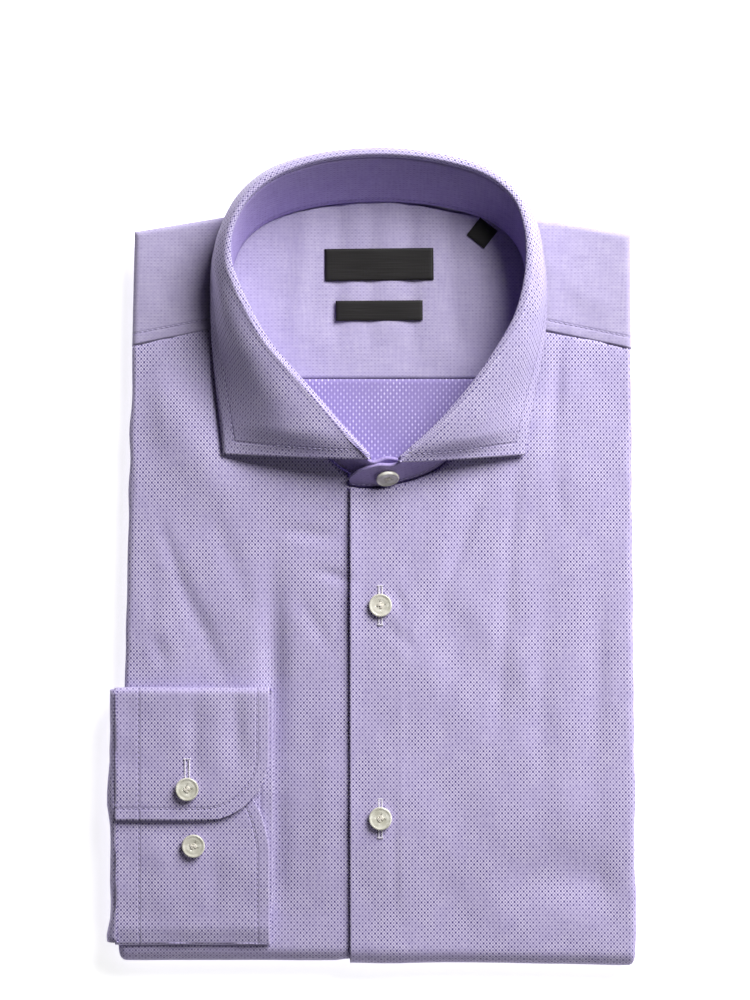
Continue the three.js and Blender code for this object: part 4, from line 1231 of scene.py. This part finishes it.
class ShirtClothSettings(bpy.types.PropertyGroup):
    panel_wall: FloatProperty(
        name="Panel wall", description="Thickness of a body panel in millimetres",
        default=0.9, min=0.3, max=2.0,
    )
    collar_wall: FloatProperty(
        name="Collar wall", description="Thickness of the lined collar and cuff in millimetres",
        default=1.4, min=0.5, max=2.5,
    )
    dot_width: FloatProperty(
        name="Dot width", description="Repeat of the dots across the cloth in millimetres",
        default=2.8, min=0.5, max=10,
    )
    dot_height: FloatProperty(
        name="Dot height", description="Repeat of the dots along the cloth in millimetres",
        default=3.1, min=0.5, max=10,
    )
    ground: FloatVectorProperty(
        name="Ground", description="Ground of the face",
        subtype="COLOR", size=3, default=srgb(186, 174, 219),
    )
    dot: FloatVectorProperty(
        name="Dots", description="Dark dots of the face",
        subtype="COLOR", size=3, default=srgb(64, 49, 122),
    )
    pale: FloatVectorProperty(
        name="Floats", description="Pale floats of the face",
        subtype="COLOR", size=3, default=srgb(245, 237, 255),
    )
    reverse_ground: FloatVectorProperty(
        name="Reverse ground", description="Ground of the reverse",
        subtype="COLOR", size=3, default=srgb(160, 146, 200),
    )
    reverse_rib: FloatVectorProperty(
        name="Reverse ribs", description="Deeper ribs of the reverse",
        subtype="COLOR", size=3, default=srgb(140, 124, 188),
    )
    reverse_float: FloatVectorProperty(
        name="Reverse floats", description="Pale floats of the reverse",
        subtype="COLOR", size=3, default=srgb(226, 216, 252),
    )


class ShirtTrimSettings(bpy.types.PropertyGroup):
    button_diameter: FloatProperty(
        name="Button diameter", description="Width of a button in millimetres",
        default=10.5, min=8, max=14,
    )
    button_colour: FloatVectorProperty(
        name="Buttons", description="Pearl of the buttons",
        subtype="COLOR", size=3, default=srgb(234, 229, 218),
    )
    button_thread_colour: FloatVectorProperty(
        name="Button thread", description="Thread in the buttons' holes",
        subtype="COLOR", size=3, default=srgb(240, 234, 222),
    )
    buttonhole_colour: FloatVectorProperty(
        name="Buttonholes", description="Thread round the buttonholes",
        subtype="COLOR", size=3, default=srgb(240, 234, 250),
    )
    thread_colour: FloatVectorProperty(
        name="Sewing thread", description="Thread of the seams",
        subtype="COLOR", size=3, default=srgb(206, 196, 232),
    )
    label_colour: FloatVectorProperty(
        name="Labels", description="Woven satin of the labels",
        subtype="COLOR", size=3, default=srgb(23, 20, 20),
    )
    stitch_pitch: FloatProperty(
        name="Stitch pitch", description="From one stitch to the next in millimetres",
        default=2.4, min=1, max=5,
    )


class ShirtStageSettings(bpy.types.PropertyGroup):
    camera_height: FloatProperty(
        name="Camera height", description="Height of the camera above the table",
        default=1.516, min=0.5, max=5, unit="LENGTH",
    )
    lens: FloatProperty(
        name="Lens", description="Focal length in millimetres on a 36 mm frame",
        default=120, min=20, max=300,
    )
    key_power: FloatProperty(
        name="Key light", description="Power of the soft light from the back right",
        default=29.5, min=0, unit="POWER",
    )
    fill_power: FloatProperty(
        name="Fill light", description="Power of the weak light from the front right",
        default=1.45, min=0, unit="POWER",
    )
    sky: FloatProperty(
        name="Surround", description="Strength of the even light all round",
        default=0.02, min=0,
    )
    table_glow: FloatProperty(
        name="Table glow", description="Strength of the light that the pale table gives by itself",
        default=0.78, min=0,
    )
    floor_colour: FloatVectorProperty(
        name="Table", description="Colour of the table",
        subtype="COLOR", size=3, default=(0.95, 0.95, 0.95),
    )


# Pieces


# What the neck leaves of the overlapping front: it is trimmed left of this X, above this Y
NECK_SLIVER_X, NECK_SLIVER_Y, NECK_SLIVER_LONG = 8.5, 7.8, 80
# Where the collar button sits on the stand: the shares up it and round it
COLLAR_BUTTON_AT = (0.5, 0.086)
FRONT_HOLE_LONG, CUFF_HOLE_LONG, CUFF_HOLE_WIDE = 16.5, 15.0, 1.9
# Labels: middle x, y, width, height and turn in degrees
LABEL_HEM, LABEL_LIFT, LABEL_WALL = 0.5, 0.55, 0.3
LABELS = {
    "label_main": (1.9, 106.2, 49, 14.5, 0.6),
    "label_fit": (1.9, 85.4, 39.2, 9.1, 0.4),
    "size_tab": (48.3, 120.4, 10, 10, -38),
}


class ShirtPiece:
    """What the operators of the pieces share: they read the settings and make their pieces."""

    bl_options = {"REGISTER", "UNDO"}

    def execute(self, context):
        self.make(context.scene.shirt_cloth, context.scene.shirt_trim)
        return {"FINISHED"}


class SHIRT_OT_fronts(ShirtPiece, bpy.types.Operator):
    """Both fronts: from the shoulder seam round the bottom fold to the end underneath"""

    bl_idname = "shirt.fronts"
    bl_label = "Fronts"

    def make(self, settings, trim):
        us = joined(steps(0, 0.04, 6), steps(0.04, 1, 84), steps(1, 2, 12), steps(2, 3, 4))
        vs = joined(steps(0, 1, 176), steps(1, 2, 18), steps(2, 3, 60))
        hole = neck_outline()

        def top_ply(points):
            return points[:, 2] > MID

        finish = [finish_named("cotton_face")]
        for side in ("left", "right"):
            obj = cloth(
                f"front_{side}_cloth", front_surface(side), us, vs, settings.panel_wall, finish,
                hole, top_ply, turn=side == "left",
            )
            if side == "left":
                trim_beyond_neck(obj, NECK_SLIVER_X, NECK_SLIVER_Y)
            place(obj, (f"front_{side}",), "cloth")


def trim_beyond_neck(obj, x, y):
    """Takes away the sliver of the overlapping front that the neck leaves above its free edge."""
    bm = bmesh.new()
    bm.from_mesh(obj.data)
    limit = metres(np.array((x, y, MID)))
    top = limit[1] + NECK_SLIVER_LONG * MM
    spare = []
    for face in bm.faces:
        middle = face.calc_center_median()
        if middle.x < limit[0] and limit[1] < middle.y < top and middle.z > limit[2]:
            spare.append(face)
    bmesh.ops.delete(bm, geom=spare, context="FACES")
    bm.to_mesh(obj.data)
    bm.free()


class SHIRT_OT_yoke(ShirtPiece, bpy.types.Operator):
    """The outer yoke: both shoulders, rolled over the shoulder edge"""

    bl_idname = "shirt.yoke"
    bl_label = "Yoke"

    def make(self, settings, trim):
        edge = steps(0, 1, 8) ** 2 * 0.02
        us = joined(edge, steps(0.02, 0.98, 130), 1 - edge[::-1])
        vs = joined(steps(0, 0.8, 34), steps(0.8, 1.2, 16), steps(1.2, 2, 24))

        def top_ply(points):
            return points[:, 2] > STACK - ROLL_R

        def seams(grid, run_u, run_v):
            return run_v - YOKE_STITCH, run_v

        # the yoke's copy of the face, made less blue: painted light
        finish = [finish_named("cotton_yoke_lit")]
        obj = cloth(
            "yoke_cloth", yoke_surface, us, vs, settings.panel_wall, finish, neck_outline(), top_ply,
            weld=True, grain="cross", seams=seams,
        )
        place(obj, ("yoke",), "cloth")


class SHIRT_OT_neck_inside(ShirtPiece, bpy.types.Operator):
    """What shows through the neck: the yoke lining and the reverse of the back"""

    bl_idname = "shirt.neck_inside"
    bl_label = "Inside of the neck"

    def make(self, settings, trim):
        wall = settings.panel_wall

        def lining_top(x):
            return top_edge(x) - 2.4

        lining = plate_surface(-100, 104, lambda x: YOKE_BACK_Y + 0 * x, lining_top, lining_creases)
        us, vs = steps(0, 1, 136), steps(0, 1, 54)
        finish = [finish_named("cotton_yoke_lit")]
        obj = cloth("yoke_lining_cloth", lining, us, vs, wall, finish, grain="cross")
        place(obj, ("yoke_lining",), "cloth")

        def slack(x, y):
            return 0.1 * ripple(x, y, 33, 20, 50)

        def back_low(x):
            return BEND_RIGHT_Y + 2 + 0 * x

        def back_high(x):
            return YOKE_BACK_Y - 0.3 + 0 * x

        back = plate_surface(-103, 106, back_low, back_high, slack)
        us, vs = steps(0, 1, 110), joined(steps(0, 0.7, 24), steps(0.7, 1, 40))
        obj = cloth("back_cloth", back, us, vs, wall, [finish_named("cotton_reverse")])
        place(obj, ("back",), "cloth_reverse")


class SHIRT_OT_folded_inside(ShirtPiece, bpy.types.Operator):
    """The turned-in sides, the other sleeve and the tail, pressed together inside the stack"""

    bl_idname = "shirt.folded_inside"
    bl_label = "Folded inside"

    def make(self, settings, trim):
        rows = len(PLIES) * PLY_ROWS - 1
        us, vs = steps(0, 1, 360), steps(0, 1, rows)
        finish = [finish_named("cotton_face")]
        obj = cloth("hidden_layers_plies", plies_surface, us, vs, 0, finish, weld=True)
        obj.modifiers.clear()
        bm = bmesh.new()
        bm.from_mesh(obj.data)
        bmesh.ops.holes_fill(bm, edges=[edge for edge in bm.edges if edge.is_boundary])
        bmesh.ops.recalc_face_normals(bm, faces=bm.faces)
        bm.to_mesh(obj.data)
        bm.free()
        place(obj, ("hidden_layers",), "cloth")


class SHIRT_OT_collar(ShirtPiece, bpy.types.Operator):
    """The stand with its lapped ends, and the leaf rolled over it"""

    bl_idname = "shirt.collar"
    bl_label = "Collar"

    def make(self, settings, trim):
        us = joined(steps(0, 0.62, 34), steps(0.62, 1, 30))
        vs = steps(0, 1, 300)
        wall = settings.collar_wall

        def leaf_seams(grid, run_u, run_v):
            from_edge = run_u[:, -1:] - run_u
            from_front = np.minimum(run_v, run_v[-1] - run_v)
            return np.minimum(from_edge, from_front) - LEAF_STITCH, NO_SEAM

        def stand_seams(grid, run_u, run_v):
            return run_u - STAND_STITCH, NO_SEAM

        finish = [finish_named("cotton_face")]
        leaf = cloth(
            "collar_leaf_cloth", leaf_surface, us, vs, wall, finish, grain="shaped", seams=leaf_seams
        )
        place(leaf, ("collar_leaf",), "cloth")
        # the stand's copy of the face, darkened and made bluer: painted shade
        finish = [finish_named("cotton_stand_shaded")]
        stand = cloth(
            "collar_stand_cloth", stand_surface, steps(0, 1, 18), vs, wall, finish,
            turn=True, grain="shaped", seams=stand_seams,
        )
        place(stand, ("collar_stand",), "cloth")


class SHIRT_OT_cuff(ShirtPiece, bpy.types.Operator):
    """The right sleeve round the edge of the stack, and its cuff on the front"""

    bl_idname = "shirt.cuff"
    bl_label = "Cuff and sleeve"

    def make(self, settings, trim):
        us = joined(steps(0, 0.6, 26), steps(0.6, 1, 30))

        def seams(grid, run_u, run_v):
            run = CUFF_RUN[:, None]
            end = np.minimum(run, CUFF_WHOLE - run)
            wide = run_u[:, -1:] + corner_inset(end) - run_u
            corner = (end < CUFF_CORNER) & (wide < CUFF_CORNER)
            round_off = CUFF_CORNER - np.hypot(CUFF_CORNER - end, CUFF_CORNER - wide)
            edge = np.where(corner, round_off, np.minimum(end, wide))
            return edge - CUFF_STITCH, run_u - CUFF_SEAM

        finish = [finish_named("cotton_face")]
        cuff = cloth(
            "cuff_right_cloth", cuff_surface, us, CUFF_RUN / CUFF_WHOLE, settings.collar_wall, finish,
            turn=True, grain="level", seams=seams,
        )
        place(cuff, ("cuff_right",), "cloth")
        us, vs = steps(0, 1, 40), steps(0, 1, 96)
        sleeve = cloth(
            "sleeve_right_cloth", sleeve_surface, us, vs, SLEEVE_WALL, finish, weld=True, turn=True
        )
        place(sleeve, ("sleeve_right",), "cloth")


class SHIRT_OT_buttons(ShirtPiece, bpy.types.Operator):
    """The buttons, their thread and the buttonholes that show"""

    bl_idname = "shirt.buttons"
    bl_label = "Buttons and buttonholes"

    def make(self, settings, trim):
        form = button_form(trim.button_diameter)
        for name in ("front_button_1", "front_button_2", "cuff_button_1", "cuff_button_2"):
            low, high = (np.array(corner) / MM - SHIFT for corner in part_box(name))
            seat = np.array(((low[0] + high[0]) / 2, (low[1] + high[1]) / 2, low[2]))
            matrix = seat_matrix(seat, np.array((0.0, 0.0, 1.0)), 0.3 + seat[1] * 0.02)
            place_button(name, form, matrix)
        place_button("collar_button", form, collar_button_matrix())
        for index, button_y in enumerate(BUTTON_YS, 1):
            hole_in_front(f"front_buttonhole_{index}", button_y)
        x, y = CUFF_HOLE
        u = (x - CUFF_LEFT) / (CUFF_RIGHT - CUFF_LEFT)
        v = 1 - (y - CUFF_UPPER_END) / CUFF_WHOLE
        points, _ = on_surface(cuff_surface, [u], [v])
        add_buttonhole("cuff_buttonhole", points[0], (0, 1, 0), (0, 0, 1), CUFF_HOLE_LONG, CUFF_HOLE_WIDE)


def place_button(name, form, matrix):
    bm = bmesh.new()
    bm.from_mesh(form)
    bmesh.ops.transform(bm, matrix=matrix, verts=bm.verts)
    button = made_object(f"{name}_pearl", bm, [finish_named("pearl")])
    place(button, (name,), "button")
    add_button_thread(f"{name}_thread", matrix)


def collar_button_matrix():
    """Where the collar button sits on the stand's overlapping end."""
    u, v = (np.array([share]) for share in COLLAR_BUTTON_AT)
    reach = 1e-2
    seat = stand_surface(u, v)[0]
    up = stand_surface(u + 0.1, v)[0] - seat
    ahead = stand_surface(u, v + reach)[0] - seat
    out = unit(np.cross(ahead, up))
    return seat_matrix(seat + out * 0.3, out, 0.5)


def hole_in_front(name, button_y):
    surface = front_surface("left")
    x = np.array([BUTTON_X])
    span = right_edge(button_y) - ROLL_R - PLACKET_X
    v = (SEAM_Y + 13 - button_y) / (SEAM_Y + 13 - BEND_LEFT_Y)
    points = surface((x - PLACKET_X) / span, np.array([v]))
    points[0][1] = button_y
    middle = points[0] + np.array((0, 0, 0.05))
    add_buttonhole(name, middle, (0, 1, 0), (0, 0, 1), FRONT_HOLE_LONG)


class SHIRT_OT_labels(ShirtPiece, bpy.types.Operator):
    """The bare woven labels at the neck"""

    bl_idname = "shirt.labels"
    bl_label = "Labels"

    def make(self, settings, trim):
        us, vs = steps(0, 1, 40), steps(0, 1, 16)
        finish = [finish_named("label_satin")]
        for name, (x, y, width, height, turn) in LABELS.items():
            surface = label_surface(x, y, width, height, math.radians(turn))
            obj = cloth(f"{name}_satin", surface, us, vs, LABEL_WALL, finish)
            place(obj, (name,), "label")


def label_surface(x, y, width, height, turn):
    def surface(u, v):
        across, down = (u - 0.5) * width, (v - 0.5) * height
        px = x + across * math.cos(turn) - down * math.sin(turn)
        py = y + across * math.sin(turn) + down * math.cos(turn)
        edge = np.minimum(np.minimum(u, 1 - u) * width, np.minimum(v, 1 - v) * height)
        puff = 0.12 * smooth(edge, 0, 1.2) + 0.08 * ripple(px, py, 81, 12, 30)
        return stacked(px, py, lining_height(px, py) + LABEL_LIFT + puff)

    return surface


class SHIRT_OT_sewing(ShirtPiece, bpy.types.Operator):
    """The lines of stitches along the collar, cuff, yoke and neck"""

    bl_idname = "shirt.sewing"
    bl_label = "Sewing"

    def make(self, settings, trim):
        pitch = trim.stitch_pitch
        long = pitch * 0.76

        def run(surface, places, flip=1):
            points, normals = on_surface(surface, *places)
            return points, normals * flip

        leaf_runs = [
            run(leaf_surface, inset_run(leaf_surface, "u", True, LEAF_STITCH, 140, (0.018, 0.982))),
            run(leaf_surface, inset_run(leaf_surface, "v", False, LEAF_STITCH, 60, (0.42, 0.87))),
            run(leaf_surface, inset_run(leaf_surface, "v", True, LEAF_STITCH, 60, (0.42, 0.87))),
        ]
        sew("collar_leaf_stitches", leaf_runs, "sewing_thread", pitch, long)
        stand_runs = [run(stand_surface, inset_run(stand_surface, "u", False, STAND_STITCH, 160), -1)]
        sew("collar_stand_stitches", stand_runs, "sewing_thread", pitch, long)
        margin = CUFF_STITCH
        upper_from = 1 - (CUFF_TOP - CUFF_UPPER_END - 3) / CUFF_WHOLE
        under_to = (CUFF_UNDER_END - CUFF_BOTTOM - 3) / CUFF_WHOLE
        cuff_runs = []
        for low, high in ((upper_from, 1 - margin / CUFF_WHOLE), (margin / CUFF_WHOLE, under_to)):
            seam = inset_run(cuff_surface, "u", False, CUFF_SEAM, 50, (low, high))
            cuff_runs.append(run(cuff_surface, seam, -1))
            cuff_runs.append(run(cuff_surface, cuff_margin(margin, low, high), -1))
        cuff_runs.append(run(cuff_surface, end_margin(margin, 1), -1))
        cuff_runs.append(run(cuff_surface, end_margin(margin, 0), -1))
        sew("cuff_stitches", cuff_runs, "sewing_thread", pitch, long)
        yoke_runs = []
        for span in ((0.012, 0.2), (0.8, 0.988)):
            line = inset_run(yoke_surface, "v", False, YOKE_STITCH, 60, span)
            yoke_runs.append(run(yoke_surface, line))
        sew("yoke_stitches", yoke_runs, "sewing_thread", pitch, long)


def cuff_margin(distance, low, high):
    """The stitch line beside the wrist edge, round its corner."""
    v = steps(low, high, 90)
    run = v * CUFF_WHOLE
    end = np.minimum(run, CUFF_WHOLE - run)
    corner = CUFF_CORNER - distance
    inset = corner - np.sqrt(np.maximum(0, corner**2 - np.maximum(0, CUFF_CORNER - end) ** 2))
    x = CUFF_RIGHT - distance - np.minimum(inset, corner)
    u = (x - CUFF_LEFT) / (CUFF_RIGHT - corner_inset(end) - CUFF_LEFT)
    return u, v


def end_margin(distance, at):
    """The stitch line beside one end of the cuff, up to the start of its corner."""
    v = abs(at - distance / CUFF_WHOLE)
    inset = CUFF_CORNER - math.sqrt(CUFF_CORNER**2 - (CUFF_CORNER - distance) ** 2)
    reach = (CUFF_RIGHT - CUFF_CORNER - CUFF_LEFT) / (CUFF_RIGHT - inset - CUFF_LEFT)
    u = steps(0.004, reach, 60)
    return u, np.full(len(u), v)


# The stage, in metres: the table, and each light's place from the middle of the shirt and its width
TABLE_HALF, TABLE_BELOW, TABLE_ROUGHNESS = 2.5, 0.0004, 0.7
KEY_FROM, KEY_WIDE = (0.64, 0.85, 0.78), 0.95
FILL_FROM, FILL_WIDE = (0.55, -0.65, 0.62), 0.6
SENSOR = 36


class SHIRT_OT_stage(bpy.types.Operator):
    """The table, the lights and the overhead camera"""

    bl_idname = "shirt.stage"
    bl_label = "Stage"

    def execute(self, context):
        scene = context.scene
        settings = scene.shirt_stage
        bm = bmesh.new()
        bmesh.ops.create_grid(bm, x_segments=2, y_segments=2, size=TABLE_HALF)
        bmesh.ops.translate(bm, verts=bm.verts, vec=(0, 0, -TABLE_BELOW))
        finish = plain_finish("table", settings.floor_colour, TABLE_ROUGHNESS)
        shader = finish.node_tree.nodes["Principled BSDF"]
        shader.inputs["Emission Color"].default_value = (1, 1, 1, 1)
        shader.inputs["Emission Strength"].default_value = settings.table_glow
        table = made_object("table", bm, [finish])
        centre = SHIFT * MM
        add_light("key", KEY_FROM, KEY_WIDE, settings.key_power, centre)
        add_light("fill", FILL_FROM, FILL_WIDE, settings.fill_power, centre)
        world = bpy.data.worlds.new("surround")
        world.use_nodes = True
        world.node_tree.nodes["Background"].inputs[0].default_value = (1, 1, 1, 1)
        world.node_tree.nodes["Background"].inputs[1].default_value = settings.sky
        scene.world = world
        lens = bpy.data.cameras.new("camera")
        lens.lens, lens.sensor_width, lens.sensor_fit = settings.lens, SENSOR, "AUTO"
        camera = bpy.data.objects.new("camera", lens)
        camera.location = (centre[0], centre[1], settings.camera_height)
        scene.collection.objects.link(camera)
        scene.camera = camera
        scene.view_settings.view_transform = "Standard"
        return {"FINISHED"}


def add_light(name, offset, size, power, centre):
    """A round soft light that faces the middle of the shirt."""
    lamp = bpy.data.lights.new(name, "AREA")
    lamp.shape, lamp.size, lamp.energy = "DISK", size, power
    obj = bpy.data.objects.new(name, lamp)
    obj.location = Vector(offset) + Vector(centre.tolist())
    aim = Vector(centre.tolist()) - obj.location
    obj.rotation_euler = aim.to_track_quat("-Z", "Y").to_euler()
    bpy.context.scene.collection.objects.link(obj)


class SHIRT_PT_panel(bpy.types.Panel):
    """The settings, and a button for each piece"""

    bl_label = "Folded dress shirt"
    bl_idname = "SHIRT_PT_panel"
    bl_space_type = "VIEW_3D"
    bl_region_type = "UI"
    bl_category = "Shirt"

    def draw(self, context):
        for group in (context.scene.shirt_cloth, context.scene.shirt_trim, context.scene.shirt_stage):
            box = self.layout.box()
            for name in group.__annotations__:
                box.prop(group, name)
        for operator in OPERATORS:
            self.layout.operator(operator.bl_idname)


SETTINGS = (
    ("shirt_cloth", ShirtClothSettings),
    ("shirt_trim", ShirtTrimSettings),
    ("shirt_stage", ShirtStageSettings),
)
OPERATORS = (
    SHIRT_OT_stage,
    SHIRT_OT_folded_inside,
    SHIRT_OT_fronts,
    SHIRT_OT_yoke,
    SHIRT_OT_neck_inside,
    SHIRT_OT_collar,
    SHIRT_OT_cuff,
    SHIRT_OT_buttons,
    SHIRT_OT_labels,
    SHIRT_OT_sewing,
)


def register():
    for name, group in SETTINGS:
        bpy.utils.register_class(group)
        setattr(bpy.types.Scene, name, PointerProperty(type=group))
    for item in (*OPERATORS, SHIRT_PT_panel):
        bpy.utils.register_class(item)


def unregister():
    for item in reversed((*OPERATORS, SHIRT_PT_panel)):
        bpy.utils.unregister_class(item)
    for name, group in reversed(SETTINGS):
        delattr(bpy.types.Scene, name)
        bpy.utils.unregister_class(group)


def main():
    register()
    for operator in OPERATORS:
        group, name = operator.bl_idname.split(".")
        getattr(getattr(bpy.ops, group), name)()


if __name__ == "__main__":
    main()
